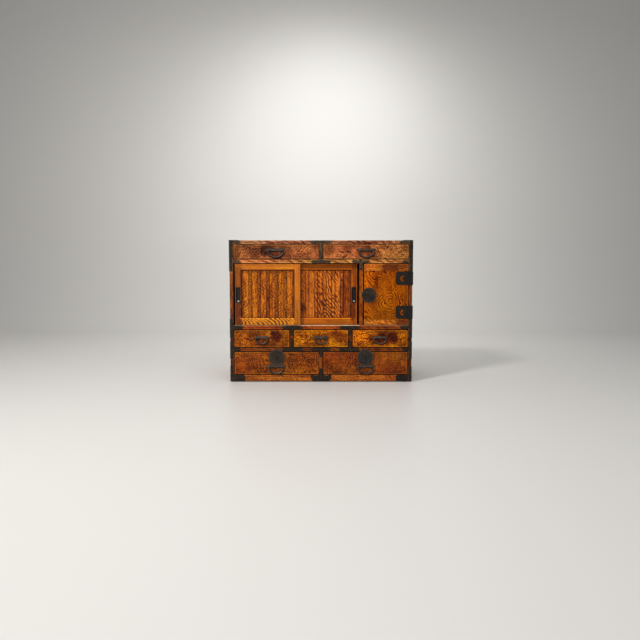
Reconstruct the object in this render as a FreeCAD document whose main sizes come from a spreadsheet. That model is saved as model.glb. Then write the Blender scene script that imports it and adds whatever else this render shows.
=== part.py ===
import FreeCAD, Part
import math
import os
import Sketcher

os.makedirs("parts", exist_ok=True)
doc = FreeCAD.newDocument("clothing_chest")
V3 = FreeCAD.Vector

# ---------------------------------------------------------------------------
# Frame: +Z up, +X to the right of someone facing the drawers, front faces -Y.
# Origin: centre of the case's footprint, on the floor.  Millimetres.
# ---------------------------------------------------------------------------


class Q:
    """A size that carries its value and the sheet expression it comes from."""

    def __init__(self, v, e=None):
        self.v = float(v)
        self.e = e if e is not None else "%.6f" % float(v)

    def __add__(self, o):
        o = q(o)
        return Q(self.v + o.v, "(%s + %s)" % (self.e, o.e))

    def __sub__(self, o):
        o = q(o)
        return Q(self.v - o.v, "(%s - %s)" % (self.e, o.e))

    def __mul__(self, o):
        o = q(o)
        return Q(self.v * o.v, "(%s * %s)" % (self.e, o.e))

    def __truediv__(self, o):
        o = q(o)
        return Q(self.v / o.v, "(%s / %s)" % (self.e, o.e))

    def __neg__(self):
        return Q(-self.v, "(0 - %s)" % self.e)

    def __radd__(self, o):
        return q(o) + self

    def __rsub__(self, o):
        return q(o) - self

    def __rmul__(self, o):
        return q(o) * self


def q(v):
    return v if isinstance(v, Q) else Q(v)


sheet = doc.addObject("Spreadsheet::Sheet", "Dims")
_row = [0]


def dim(alias, value, note):
    _row[0] += 1
    r = _row[0]
    sheet.set("A%d" % r, note)
    sheet.set("B%d" % r, ("%.4f" % value).rstrip("0").rstrip("."))
    sheet.setAlias("B%d" % r, alias)
    return Q(value, "Dims." + alias)


# case
width = dim("width", 909, "case width over the side boards")
depth = dim("depth", 424, "case depth, front face to back")
height = dim("height", 707, "top face of the top board")
board = dim("board", 18, "thickness of side and bottom boards")
top_thick = dim("top_thick", 17, "thickness of the top board")
back_thick = dim("back_thick", 8, "thickness of the back boards")
shelf_thick = dim("shelf_thick", 12, "thickness of the inner shelves")
base_low = dim("base_low", 4, "underside of the base rail")
base_high = dim("base_high", 37, "upper edge of the base rail")
low_under = dim("low_under", 154, "underside of the lower rail")
low_over = dim("low_over", 174, "upper edge of the lower rail")
mid_under = dim("mid_under", 265, "underside of the middle rail")
mid_over = dim("mid_over", 285, "upper edge of the middle rail, the sill")
up_under = dim("up_under", 594, "underside of the upper rail")
up_over = dim("up_over", 614, "upper edge of the upper rail")
rail_deep = dim("rail_deep", 60, "depth of the two rails with door grooves")
rail_slim = dim("rail_slim", 30, "depth of the lower rail")
base_deep = dim("base_deep", 20, "depth of the base rail")
tenon = dim("tenon", 8, "length of rail tenons and shelf housings")
div_half = dim("div_half", 9, "half thickness of the drawer dividers")
div_three = dim("div_three", 146.5, "centre of the third row's dividers")
post_left = dim("post_left", 191, "left face of the cupboard post")
post_right = dim("post_right", 209, "right face of the cupboard post")
partition = dim("partition", 12, "thickness of the cupboard partition")
runner_wide = dim("runner_wide", 20, "width of the bottom runners")
# iron
iron = dim("iron", 1.5, "thickness of the iron straps")
fold = dim("fold", 40, "width of the straps on the sides")
lip = dim("lip", 46, "width of the straps on the top board")
arm_low = dim("arm_low", 0.8, "rail irons above a rail's underside")
arm_high = dim("arm_high", 1.8, "rail irons below a rail's upper edge")
stem_half = dim("stem_half", 7.2, "half width of the iron stems")
post_stem = dim("post_stem", 8.5, "half width of the stem on the post")
nail_r = dim("nail_r", 2.2, "radius of the nail heads")
nail_rise = dim("nail_rise", 1.0, "height of the nail heads")
# drawers
gap = dim("gap", 1.2, "gap round each drawer front")
front_thick = dim("front_thick", 19.6, "thickness of the drawer fronts")
front_proud = dim("front_proud", 1.6, "drawer fronts stand proud of the rails")
front_round = dim("front_round", 2.0, "rounding of the drawer front edges")
box_side = dim("box_side", 10, "thickness of drawer sides and backs")
box_floor = dim("box_floor", 6, "thickness of drawer bottoms")
box_end = dim("box_end", 190, "rear face of the drawer boxes")
# handles
big_rod = dim("big_rod", 3.2, "radius of the large bails' rod")
small_rod = dim("small_rod", 2.7, "radius of the small bails' rod")
eye_out = dim("eye_out", 7.8, "bail axis in front of the drawer front")
eye_r = dim("eye_r", 4.4, "radius of the handle posts")
eye_bore = dim("eye_bore", 2.0, "bore of the handle posts")
end_r = dim("end_r", 1.95, "radius of the bail ends in the posts")
shank_r = dim("shank_r", 2.3, "radius of the post tails")
shank_hole = dim("shank_hole", 2.6, "hole for a post tail")
plate = dim("plate", 1.5, "thickness of handle plates")
big_half = dim("big_half", 51, "half length of the large handle plates")
big_loop = dim("big_loop", 36.5, "half width of the large bails, on centre")
big_drop = dim("big_drop", 35, "drop of the large bails, on centre")
big_eye = dim("big_eye", 27.5, "large handle posts from the handle's middle")
small_half = dim("small_half", 35, "half length of the small handle plates")
small_loop = dim("small_loop", 30.5, "half width of the small bails, on centre")
small_drop = dim("small_drop", 31, "drop of the small bails, on centre")
small_eye = dim("small_eye", 22, "small handle posts from the handle's middle")
row_one_axis = dim("row_one_axis", 660, "bail axis height, top drawers")
row_three_axis = dim("row_three_axis", 225, "bail axis height, middle drawers")
row_four_axis = dim("row_four_axis", 79, "bail axis height, bottom drawers")
crown = dim("crown", 6.8, "rise of the plates' middle over the bail axis")
bay_gap = dim("bay_gap", 1.2, "gap between a plate and the lock above it")
wide_handle_x = dim("wide_handle_x", 224, "handle middle, top and bottom drawers")
side_handle_x = dim("side_handle_x", 295, "handle middle, outer middle drawers")
# locks
lock_plate = dim("lock_plate", 1.6, "thickness of the round lock plates")
dlock_x = dim("dlock_x", 222, "bottom drawer locks, from the middle")
dlock_z = dim("dlock_z", 124, "height of the bottom drawer locks")
dlock_r = dim("dlock_r", 41, "radius of the bottom drawer lock plates")
flock_x = dim("flock_x", 239, "hinged door's lock, from the middle")
flock_z = dim("flock_z", 436, "height of the hinged door's lock")
flock_r = dim("flock_r", 37.6, "radius of the hinged door's lock plate")
case_half = dim("case_half", 25, "half width of the lock cases")
case_deep = dim("case_deep", 10, "depth of the lock cases")
bolt_half = dim("bolt_half", 10, "half width of the lock bolts")
bolt_thick = dim("bolt_thick", 4, "thickness of the lock bolts")
bolt_play = dim("bolt_play", 0.3, "play round the lock bolts")
# sliding doors
ldoor_from = dim("ldoor_from", -430, "left edge of the left sliding door")
rdoor_from = dim("rdoor_from", -146, "left edge of the right sliding door")
door_wide = dim("door_wide", 328, "width of a sliding door")
door_thick = dim("door_thick", 18, "thickness of a sliding door frame")
door_play = dim("door_play", 1.0, "gap over and under a sliding door")
recess = dim("recess", 5, "front sliding door behind the rails' face")
track_gap = dim("track_gap", 3, "gap between the two sliding doors")
stile = dim("stile", 33, "width of sliding door stiles")
drail_top = dim("drail_top", 33, "height of a sliding door's top rail")
drail_low = dim("drail_low", 35, "height of a sliding door's bottom rail")
tongue = dim("tongue", 8, "thickness of the door tongues")
groove = dim("groove", 9, "width of the door grooves")
groove_low = dim("groove_low", 7, "depth of the lower door grooves")
groove_high = dim("groove_high", 10, "depth of the upper door grooves")
slat_thick = dim("slat_thick", 5, "thickness of the panel boards")
slat_back = dim("slat_back", 7, "panel boards behind the frame's face")
batten_wide = dim("batten_wide", 16, "width of the battens over the joints")
batten_thick = dim("batten_thick", 4, "thickness of the battens")
pull_wide = dim("pull_wide", 20, "width of the recessed pulls")
pull_tall = dim("pull_tall", 76, "height of the recessed pulls")
pull_deep = dim("pull_deep", 8, "depth of the recessed pulls")
pull_wall = dim("pull_wall", 1.2, "wall of the recessed pulls")
pull_low = dim("pull_low", 398, "lower end of the recessed pulls")
pull_in = dim("pull_in", 6.5, "recessed pull from the door's edge")
# hinged door
flap_from = dim("flap_from", 213, "left edge of the hinged door")
flap_to = dim("flap_to", 435, "right edge of the hinged door")
flap_low = dim("flap_low", 286.5, "lower edge of the hinged door")
flap_high = dim("flap_high", 592.5, "upper edge of the hinged door")
flap_thick = dim("flap_thick", 18, "thickness of the hinged door")
flap_proud = dim("flap_proud", 0.4, "hinged door in front of the case")
clamp_top = dim("clamp_top", 34.5, "height of the door's top clamp")
clamp_low = dim("clamp_low", 26.5, "height of the door's bottom clamp")
clamp_tongue = dim("clamp_tongue", 6, "tongue of the door panel in its clamps")
leaf = dim("leaf", 2.4, "thickness of the hinge leaves")
knuckle = dim("knuckle", 3.4, "radius of the hinge knuckles")
pin_r = dim("pin_r", 1.7, "radius of the hinge pins")
pin_play = dim("pin_play", 0.05, "radial play of the hinge pins")
pin_x = dim("pin_x", 435.75, "hinge axis")
hinge_tall = dim("hinge_tall", 65, "height of a hinge")
hinge_reach = dim("hinge_reach", 63.75, "reach of a hinge leaf on the door")
hinge_up = dim("hinge_up", 519.5, "middle of the upper hinge")
hinge_down = dim("hinge_down", 351, "middle of the lower hinge")

doc.recompute()

half = width / 2
inner = half - board                 # inner face of the side boards
yf = -(depth / 2)                    # front face of the case
yb = depth / 2                       # back of the case
y_back = yb - back_thick             # front of the back boards
top_under = height - top_thick       # underside of the top board


# ---------------------------------------------------------------------------
# helpers
# ---------------------------------------------------------------------------
def bind(obj, prop, value):
    obj.setExpression(prop, q(value).e)


def block(name, x0, x1, y0, y1, z0, z1):
    b = doc.addObject("Part::Box", name)
    x0, x1, y0, y1, z0, z1 = [q(a) for a in (x0, x1, y0, y1, z0, z1)]
    bind(b, "Length", x1 - x0)
    bind(b, "Width", y1 - y0)
    bind(b, "Height", z1 - z0)
    bind(b, "Placement.Base.x", x0)
    bind(b, "Placement.Base.y", y0)
    bind(b, "Placement.Base.z", z0)
    return b


def cyl(name, x, y, z, r, length, axis):
    """Cylinder from (x, y, z) along +axis."""
    c = doc.addObject("Part::Cylinder", name)
    rot = {"X": FreeCAD.Rotation(V3(0, 1, 0), 90),
           "Y": FreeCAD.Rotation(V3(1, 0, 0), -90),
           "Z": FreeCAD.Rotation()}[axis]
    c.Placement = FreeCAD.Placement(V3(q(x).v, q(y).v, q(z).v), rot)
    bind(c, "Radius", r)
    bind(c, "Height", length)
    bind(c, "Placement.Base.x", x)
    bind(c, "Placement.Base.y", y)
    bind(c, "Placement.Base.z", z)
    return c


def cut(name, base, *tools):
    tool = tools[0] if len(tools) == 1 else fuse(name + "_tools", *tools)
    c = doc.addObject("Part::Cut", name)
    c.Base = base
    c.Tool = tool
    return c


def fuse(name, *items):
    f = doc.addObject("Part::MultiFuse", name)
    f.Shapes = list(items)
    return f


def group(name, items):
    g = doc.addObject("Part::Compound", name)
    g.Links = list(items)
    return g


def new_body(name):
    return doc.addObject("PartDesign::Body", name)


def attach(body, sk, plane, off):
    face = [f for f in body.Origin.OriginFeatures
            if f.Role == plane + "_Plane"][0]
    sk.AttachmentSupport = [(face, "")]
    sk.MapMode = "FlatFace"
    bind(sk, "AttachmentOffset.Base.z", off)


def fix_point(sk, geo, pos, a, b):
    for kind, value, axis in (("DistanceX", a, -2), ("DistanceY", b, -1)):
        if abs(value.v) < 1e-9:
            sk.addConstraint(Sketcher.Constraint("PointOnObject", geo, pos,
                                                 axis))
        else:
            i = sk.addConstraint(Sketcher.Constraint(kind, -1, 1, geo, pos,
                                                     value.v))
            sk.setExpression("Constraints[%d]" % i, value.e)


def outline(body, name, plane, off, loops):
    """Closed outlines of straight edges, every corner bound to the sheet."""
    sk = body.newObject("Sketcher::SketchObject", name)
    attach(body, sk, plane, off)
    for pts in loops:
        pts = [(q(a), q(b)) for a, b in pts]
        n = len(pts)
        first = sk.GeometryCount
        sk.addGeometry([Part.LineSegment(
            V3(pts[i][0].v, pts[i][1].v, 0),
            V3(pts[(i + 1) % n][0].v, pts[(i + 1) % n][1].v, 0))
            for i in range(n)], False)
        sk.addConstraint([Sketcher.Constraint(
            "Coincident", first + i, 2, first + (i + 1) % n, 1)
            for i in range(n)])
        for i in range(n):
            fix_point(sk, first + i, 1, pts[i][0], pts[i][1])
    return sk


def circles(body, name, plane, off, items):
    sk = body.newObject("Sketcher::SketchObject", name)
    attach(body, sk, plane, off)
    for a, b, r in items:
        a, b, r = q(a), q(b), q(r)
        g = sk.addGeometry(Part.Circle(V3(a.v, b.v, 0), V3(0, 0, 1), r.v),
                           False)
        fix_point(sk, g, 3, a, b)
        i = sk.addConstraint(Sketcher.Constraint("Radius", g, r.v))
        sk.setExpression("Constraints[%d]" % i, r.e)
    return sk


def span(plane, lo, hi):
    """Offset and length of a prism between two planes."""
    lo, hi = q(lo), q(hi)
    return (-hi if plane == "XZ" else lo), hi - lo


def pad(body, name, plane, lo, hi, loops):
    off, length = span(plane, lo, hi)
    sk = outline(body, name + "_sketch", plane, off, loops)
    p = body.newObject("PartDesign::Pad", name)
    p.Profile = sk
    bind(p, "Length", length)
    doc.recompute()
    return p


def volume(body):
    return body.Shape.Volume


def pocket(body, name, plane, lo, hi, loops=None, rounds=None):
    """Cuts a prism between two planes out of the body."""
    before = volume(body)
    lo, hi = q(lo), q(hi)
    off = -lo if plane == "XZ" else hi      # a pocket runs against its normal
    if rounds is None:
        sk = outline(body, name + "_sketch", plane, off, loops)
    else:
        sk = circles(body, name + "_sketch", plane, off, rounds)
    p = body.newObject("PartDesign::Pocket", name)
    p.Profile = sk
    bind(p, "Length", hi - lo)
    doc.recompute()
    if not volume(body) < before - 0.01:
        raise RuntimeError("%s cuts nothing" % name)
    return p


def rect(a0, a1, b0, b1):
    return [(a0, b0), (a1, b0), (a1, b1), (a0, b1)]


def round_front(body, name, x0, x1, z0, z1, y, radius):
    """Rounds the four edges round a front face."""
    top = body.Tip
    names = []
    for i, e in enumerate(top.Shape.Edges):
        b = e.BoundBox
        if abs(b.YMin - y) > 1e-4 or abs(b.YMax - y) > 1e-4:
            continue
        on = [abs(b.XMin - x0) < 1e-4 and abs(b.XMax - x0) < 1e-4,
              abs(b.XMin - x1) < 1e-4 and abs(b.XMax - x1) < 1e-4,
              abs(b.ZMin - z0) < 1e-4 and abs(b.ZMax - z0) < 1e-4,
              abs(b.ZMin - z1) < 1e-4 and abs(b.ZMax - z1) < 1e-4]
        if any(on):
            names.append("Edge%d" % (i + 1))
    f = body.newObject("PartDesign::Fillet", name)
    f.Base = (top, names)
    bind(f, "Radius", radius)
    doc.recompute()
    return f


NODES = {}


def node(label, obj):
    obj.Label = label
    NODES[label] = obj


# ---------------------------------------------------------------------------
# case boards: finger-jointed corners, rails tenoned into the sides
# ---------------------------------------------------------------------------
FINGERS = 7
step = depth / FINGERS


def side_outline():
    low, high = [], []
    for i in range(FINGERS):
        a = yf + step * i
        b = yf + step * (i + 1)
        z0 = board if i % 2 else q(0)
        z1 = top_under if i % 2 else height
        low += [(a, z0), (b, z0)]
        high += [(a, z1), (b, z1)]
    return low + high[::-1]


rails = {
    "base": (base_deep, base_low, base_high, 6),
    "lower": (rail_slim, low_under, low_over, 4),
    "middle": (rail_deep, mid_under, mid_over, 4),
    "upper": (rail_deep, up_under, up_over, 4),
}


def housings():
    loops = []
    for deep, lo, hi, shy in rails.values():
        loops.append(rect(yf + 5, yf + deep - 5, lo + shy, hi - shy))
    for deep, hi in ((rail_slim, low_over), (rail_deep, mid_over),
                     (rail_deep, up_over)):
        loops.append(rect(yf + deep, y_back, hi - shelf_thick, hi))
    return loops


for label, x0, inside in (("left_side_board", -half, -inner),
                          ("right_side_board", inner, inner)):
    b = new_body(label)
    pad(b, label + "_pad", "YZ", x0, x0 + board, [side_outline()])
    if x0 is inner:
        pocket(b, label + "_housings", "YZ", inner, inner + tenon, housings())
    else:
        pocket(b, label + "_housings", "YZ", -inner - tenon, -inner,
               housings())
    node(label, b)


def lid_outline(y_start):
    """Board with fingers at both ends, from y_start to the back."""
    right = []
    for i in range(FINGERS):
        a = yf + step * i
        b = yf + step * (i + 1)
        x = half if i % 2 else inner
        if i == 0:
            a = y_start
        right += [(x, a), (x, b)]
    return right + [(-x, y) for x, y in right[::-1]]


b = new_body("top_board")
pad(b, "top_board_pad", "XY", top_under, height, [lid_outline(yf)])
node("top_board", b)
b = new_body("bottom_board")
pad(b, "bottom_board_pad", "XY", q(0), board, [lid_outline(yf + base_deep)])
node("bottom_board", b)

boards = []
for i in range(4):
    w = inner * 2 / 4
    boards.append(block("back_board_%d" % (i + 1), -inner + w * i + 0.15,
                        -inner + w * (i + 1) - 0.15, y_back, yb, board,
                        top_under))
node("back_boards", group("back_boards", boards))

for name, (deep, lo, hi, shy) in rails.items():
    label = name + "_rail"
    b = new_body(label)
    pad(b, label + "_pad", "XZ", yf, yf + deep, [rect(-inner, inner, lo, hi)])
    pad(b, label + "_tenons", "XZ", yf + 5, yf + deep - 5,
        [rect(-inner - tenon, inner + tenon, lo + shy, hi - shy)])
    if name in ("middle", "upper"):
        lanes = []
        for k in range(2):
            y0 = yf + recess + (door_thick + track_gap) * k \
                + (door_thick - groove) / 2
            lanes.append(rect(-inner, post_left, y0, y0 + groove))
        if name == "middle":
            pocket(b, label + "_grooves", "XY", hi - groove_low, hi, lanes)
        else:
            pocket(b, label + "_grooves", "XY", lo, lo + groove_high, lanes)
    if name == "lower":
        y0 = yf + 10.7
        pocket(b, label + "_bolt_mortises", "XY", lo, lo + 9, [
            rect(x - bolt_half - 1, x + bolt_half + 1, y0,
                 y0 + bolt_thick + 1.2) for x in (-dlock_x, dlock_x)])
    node(label, b)

shelves = []
for i, (deep, hi) in enumerate(((rail_slim, low_over), (rail_deep, mid_over),
                                (rail_deep, up_over))):
    shelves.append(block("shelf_%d" % (i + 1), -inner - tenon, inner + tenon,
                         yf + deep, y_back, hi - shelf_thick, hi))
node("shelf_boards", group("shelf_boards", shelves))

dividers = []
b = new_body("top_divider")
pad(b, "top_divider_pad", "YZ", -div_half, div_half,
    [rect(yf, y_back, up_over, top_under)])
dividers.append(b)
for name, x in (("left", -div_three), ("right", div_three)):
    b = new_body("middle_divider_" + name)
    z2 = mid_over - shelf_thick
    pad(b, "middle_divider_%s_pad" % name, "YZ", x - div_half, x + div_half,
        [[(yf, low_over), (y_back, low_over), (y_back, z2),
          (yf + rail_deep, z2), (yf + rail_deep, mid_under),
          (yf, mid_under)]])
    dividers.append(b)
b = new_body("bottom_divider")
z2 = low_over - shelf_thick
pad(b, "bottom_divider_pad", "YZ", -div_half, div_half,
    [[(yf, base_high), (yf + base_deep, base_high), (yf + base_deep, board),
      (y_back, board), (y_back, z2), (yf + rail_slim, z2),
      (yf + rail_slim, low_under), (yf, low_under)]])
dividers.append(b)
node("drawer_dividers", group("drawer_dividers", dividers))

# post between the sliding doors and the hinged door, and the board behind it
b = new_body("cupboard_post")
pad(b, "cupboard_post_pad", "XZ", yf, yf + rail_deep,
    [rect(post_left, post_right, mid_over, up_under)])
pocket(b, "cupboard_post_mortise", "YZ", post_right - 8.5, post_right,
       [rect(yf + 10.7, yf + 11.9 + bolt_thick, flock_z - bolt_half - 1,
             flock_z + bolt_half + 1)])
pc = (post_left + post_right) / 2
panel = block("cupboard_board", pc - partition / 2, pc + partition / 2,
              yf + rail_deep, y_back, mid_over, up_over - shelf_thick)
node("cupboard_partition", group("cupboard_partition", [b, panel]))

strips = []
for i, x0 in enumerate((-inner, -div_half - runner_wide, div_half,
                        inner - runner_wide)):
    strips.append(block("runner_%d" % (i + 1), x0, x0 + runner_wide,
                        yf + base_deep, y_back, board, base_high))
node("drawer_runners", group("drawer_runners", strips))

# ---------------------------------------------------------------------------
# iron straps along the front corners: one flange on the front, one on the
# side, with scalloped edges, and the top ones folded over the top board
# ---------------------------------------------------------------------------
yi = yf - iron                       # face of the flat irons
xi = half + iron                     # outer face of the side flanges


def scallop(a0, b0, a1, b1, pitch, rise):
    """Points of a gently scalloped edge from (a0, b0) to (a1, b1), square
    to one of the axes; rise is the depth of the scallops, signed."""
    a0, b0, a1, b1 = q(a0), q(b0), q(a1), q(b1)
    along_b = abs(b1.v - b0.v) > abs(a1.v - a0.v)
    length = abs((b1.v - b0.v) if along_b else (a1.v - a0.v))
    n = max(1, int(round(length / pitch)))
    pts = []
    for i in range(n):
        for f, k in ((0.0, 0.0), (0.3, 1.0), (0.7, 1.0)):
            t = (i + f) / n
            if along_b:
                pts.append((a0 + rise * k, b0 + (b1 - b0) * t))
            else:
                pts.append((a0 + (a1 - a0) * t, b0 + rise * k))
    pts.append((a1, b1))
    return pts


straps = []
strap_spans = {"left": [("top", q(554), height), ("middle", q(221), q(318)),
                        ("lower", q(118), q(203)), ("foot", base_low, q(80))],
               "right": [("top", hinge_up + hinge_tall / 2 + 0.2, height),
                         ("middle", q(221),
                          hinge_down - hinge_tall / 2 - 0.2),
                         ("lower", q(115), q(204)),
                         ("foot", base_low, q(77))]}
for side, sign in (("left", -1), ("right", 1)):
    for name, z0, z1 in strap_spans[side]:
        b = new_body("%s_%s_strap" % (side, name))
        tag = "%s_%s_strap" % (side, name)
        edge = scallop((inner + 0.6) * sign, z0, (inner + 0.6) * sign, z1,
                       27, 1.1 * sign)
        pad(b, tag + "_front", "XZ", yi, yf,
            [[(xi * sign, z1), (xi * sign, z0)] + edge])
        edge = scallop(yf + fold, z1, yf + fold, z0, 31, -3.0)
        lo, hi = (half, xi) if sign > 0 else (-xi, -half)
        pad(b, tag + "_side", "YZ", lo, hi,
            [[(yi, z0), (yi, z1)] + edge])
        if name == "top":
            edge = scallop((xi - lip) * sign, yf + lip, xi * sign, yf + lip,
                           23, -2.4)
            pad(b, tag + "_lip", "XY", height, height + iron,
                [[(xi * sign, yi), ((xi - lip) * sign, yi)] + edge])
        straps.append(b)
node("corner_irons", group("corner_irons", straps))

# ---------------------------------------------------------------------------
# flat irons on the rails: arms with shaped ends, and stems on the dividers
# ---------------------------------------------------------------------------


def arm_end(x, z0, z1, out):
    """Shaped end of an arm at x, from z0 to z1, pointing along out."""
    h = z1 - z0
    return [(x - 7 * out, z0), (x - 5 * out, z0 + h * 0.22),
            (x - 1.5 * out, z0 + h * 0.30), (x, z0 + h * 0.5),
            (x - 1.5 * out, z0 + h * 0.70), (x - 5 * out, z0 + h * 0.78),
            (x - 7 * out, z1)]


def stem_end(x0, x1, z, out):
    """Shaped end of a stem at z, from x0 to x1, pointing along out."""
    w = x1 - x0
    return [(x0, z - 6 * out), (x0 + w * 0.18, z - 4 * out),
            (x0 + w * 0.28, z - 1.2 * out), (x0 + w * 0.5, z),
            (x0 + w * 0.72, z - 1.2 * out), (x0 + w * 0.82, z - 4 * out),
            (x1, z - 6 * out)]


flats = []


def flat(name, pts):
    b = new_body(name)
    pad(b, name + "_pad", "XZ", yi, yf, [pts])
    flats.append(b)


def side_arm(name, x_in, x_out, z0, z1):
    """Arm from a corner strap along a rail; x_in is the free end."""
    out = 1 if x_in.v > x_out.v else -1
    end = arm_end(x_in, z0, z1, out)
    flat(name, [(x_out, z0)] + end + [(x_out, z1)])


def side_plate(name, x_in, x_out, z0, z1):
    """Tall plate from a corner strap along the base rail, with a blunt end."""
    out = 1 if x_in.v > x_out.v else -1
    h = z1 - z0
    flat(name, [(x_out, z0), (x_in - 5 * out, z0), (x_in - 2 * out, z0 + h * 0.1),
                (x_in - 0.6 * out, z0 + h * 0.3), (x_in, z0 + h * 0.55),
                (x_in - 1.6 * out, z0 + h * 0.75), (x_in - 5 * out, z0 + h * 0.84),
                (x_in - 7 * out, z1), (x_out, z1)])


e = inner + 0.2
top0 = top_under + arm_low
ul, uh = up_under + arm_low, up_over - 4
ml, mh = mid_under + arm_low, mid_over - arm_high
ll, lh = low_under + arm_low, low_over - arm_high
side_arm("top_rail_arm_left", q(-398), -e, top0, height)
side_arm("top_rail_arm_right", q(389), e, top0, height)
side_arm("upper_rail_arm_left", q(-399), -e, ul, uh)
side_arm("upper_rail_arm_right", q(402), e, ul, uh)
side_arm("middle_rail_arm_left", q(-388), -e, ml, mh)
side_arm("middle_rail_arm_right", q(394), e, ml, mh)
side_arm("lower_rail_arm_left", q(-400), -e, ll, lh)
side_arm("lower_rail_arm_right", q(405), e, ll, lh)
side_plate("base_plate_left", q(-380), -e, base_low, base_high)
side_plate("base_plate_right", q(376), e, base_low, base_high)

# one plate over the top divider, with arms on the top and upper rails
s = stem_half
flat("top_divider_iron",
     [(-s, uh)] + arm_end(q(-51), ul, uh, -1)[::-1]
     + arm_end(q(51), ul, uh, 1) + [(s, uh), (s, top0)]
     + arm_end(q(51), top0, height, 1)
     + arm_end(q(-52), top0, height, -1)[::-1] + [(-s, top0)])

# over the post: arms on the upper rail, stem down the post
post_mid = (post_left + post_right) / 2
ps = post_stem
flat("post_iron",
     [(post_mid - ps, ul)]
     + stem_end(post_mid - ps, post_mid + ps, q(558), -1)
     + [(post_mid + ps, ul)] + arm_end(q(243), ul, uh, 1)
     + arm_end(q(152), ul, uh, -1)[::-1])

for name, c, lo_x, hi_x, tip in (("left", -div_three, q(-193), q(-91), 232),
                                 ("right", div_three, q(93), q(192), 232)):
    x0, x1 = c - s, c + s
    flat("middle_rail_tee_" + name,
         [(x0, ml)] + stem_end(x0, x1, q(tip), -1)
         + [(x1, ml)] + arm_end(hi_x, ml, mh, 1)
         + arm_end(lo_x, ml, mh, -1)[::-1])

for name, c, lo_x, hi_x, tip in (("left", -div_three, q(-194), q(-88), 222),
                                 ("right", div_three, q(87), q(194), 210)):
    x0, x1 = c - s, c + s
    flat("lower_rail_tee_" + name,
         arm_end(lo_x, ll, lh, -1)[::-1]
         + arm_end(hi_x, ll, lh, 1) + [(x1, lh)]
         + stem_end(x0, x1, q(tip), 1)[::-1] + [(x0, lh)])

flat("lower_rail_tee_centre",
     [(-s, ll)] + stem_end(-s, s, q(123), -1) + [(s, ll)]
     + arm_end(q(48), ll, lh, 1)
     + arm_end(q(-48), ll, lh, -1)[::-1])

# stepped plate in the middle of the base rail, with a stem up the divider
bh = base_high
flat("base_plate_centre",
     [(q(-43), base_low), (q(43), base_low), (q(46), base_low + 6),
      (q(50), base_low + 11), (q(51), base_low + 18), (q(53), bh - 6),
      (q(51), bh), (q(42), bh - 2.5), (q(28), bh - 5), (q(14), bh - 3),
      (s + 1.4, bh + 2), (s, bh + 14)] + stem_end(-s, s, q(70), 1)[::-1]
     + [(-s, bh + 14), (-s - 1.4, bh + 2), (q(-14), bh - 3), (q(-28), bh - 5),
        (q(-42), bh - 2.5), (q(-51), bh), (q(-53), bh - 6),
        (q(-51), base_low + 18), (q(-50), base_low + 11),
        (q(-46), base_low + 6)])
node("rail_irons", group("rail_irons", flats))

# ---------------------------------------------------------------------------
# domed nail heads on the irons
# ---------------------------------------------------------------------------


def dome(x, y, z, normal):
    """Low dome of the sheet's nail radius and rise, seated at (x, y, z)."""
    r, h = nail_r.v, nail_rise.v
    ball = (r * r + h * h) / (2 * h)
    low = math.degrees(math.asin((ball - h) / ball))
    s = Part.makeSphere(ball, V3(0, 0, -(ball - h)), V3(0, 0, 1), low, 90,
                        360)
    s.Placement = FreeCAD.Placement(
        V3(x, y, z), FreeCAD.Rotation(V3(0, 0, 1), V3(*normal)))
    return s


nails = []
FRONT = (0, -1, 0)


def front_nail(x, z):
    nails.append(dome(x, yi.v, z, FRONT))


for side, sign in (("left", -1), ("right", 1)):
    for name, z0, z1 in strap_spans[side]:
        z0, z1 = z0.v, z1.v
        n = max(2, int(round((z1 - z0 - 16) / 27.0)) + 1)
        for i in range(n):
            z = z0 + 8 + (z1 - z0 - 16) * i / (n - 1)
            front_nail(sign * (half.v - 8.0), z)
            nails.append(dome(sign * xi.v, yf.v + 26, z, (sign, 0, 0)))
        if name == "top":
            for a, b2 in ((12, 12), (34, 12), (12, 34), (34, 34)):
                nails.append(dome(sign * (half.v - a), yf.v + b2,
                                  height.v + iron.v, (0, 0, 1)))
for zc, xs in ((699.3, (-424, -408, -41, -14, 14, 40, 400, 424)),
               (602.6, (-424, -409, -41, -15, 15, 41, 163, 186, 214, 234,
                      412, 426)),
               (274.5, (-424, -400, -182, -160, -133, -103, 105, 133, 160, 182,
                      404, 424)),
               (163.5, (-424, -410, -174, -119, -98, -38, -14, 14, 38, 98,
                      119, 174, 415, 426)),
               (20.5, (-424, -398, -38, -16, 16, 38, 389, 424))):
    for x in xs:
        front_nail(x, zc)
for z in (624, 641, 663, 680):
    front_nail(0, z)
for z in (572, 586):
    front_nail(pc.v, z)
for z in (258, 242, 181.5, 197):
    front_nail(-div_three.v, z)
    front_nail(div_three.v, z)
for z in (147, 133, 44, 58):
    front_nail(0, z)
f = doc.addObject("Part::Feature", "iron_nails")
f.Shape = Part.makeCompound(nails)
f.Placement = FreeCAD.Placement()
node("iron_nails", f)


# ---------------------------------------------------------------------------
# bail handles: shaped back plate, two posts whose tails go through the
# drawer front and are clenched inside, and a hanging bail
# ---------------------------------------------------------------------------
y_drawer = yf - front_proud          # face of the drawer fronts
y_axis = y_drawer - eye_out          # bail axis
y_in = y_drawer + front_thick        # inner face of the drawer fronts


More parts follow.
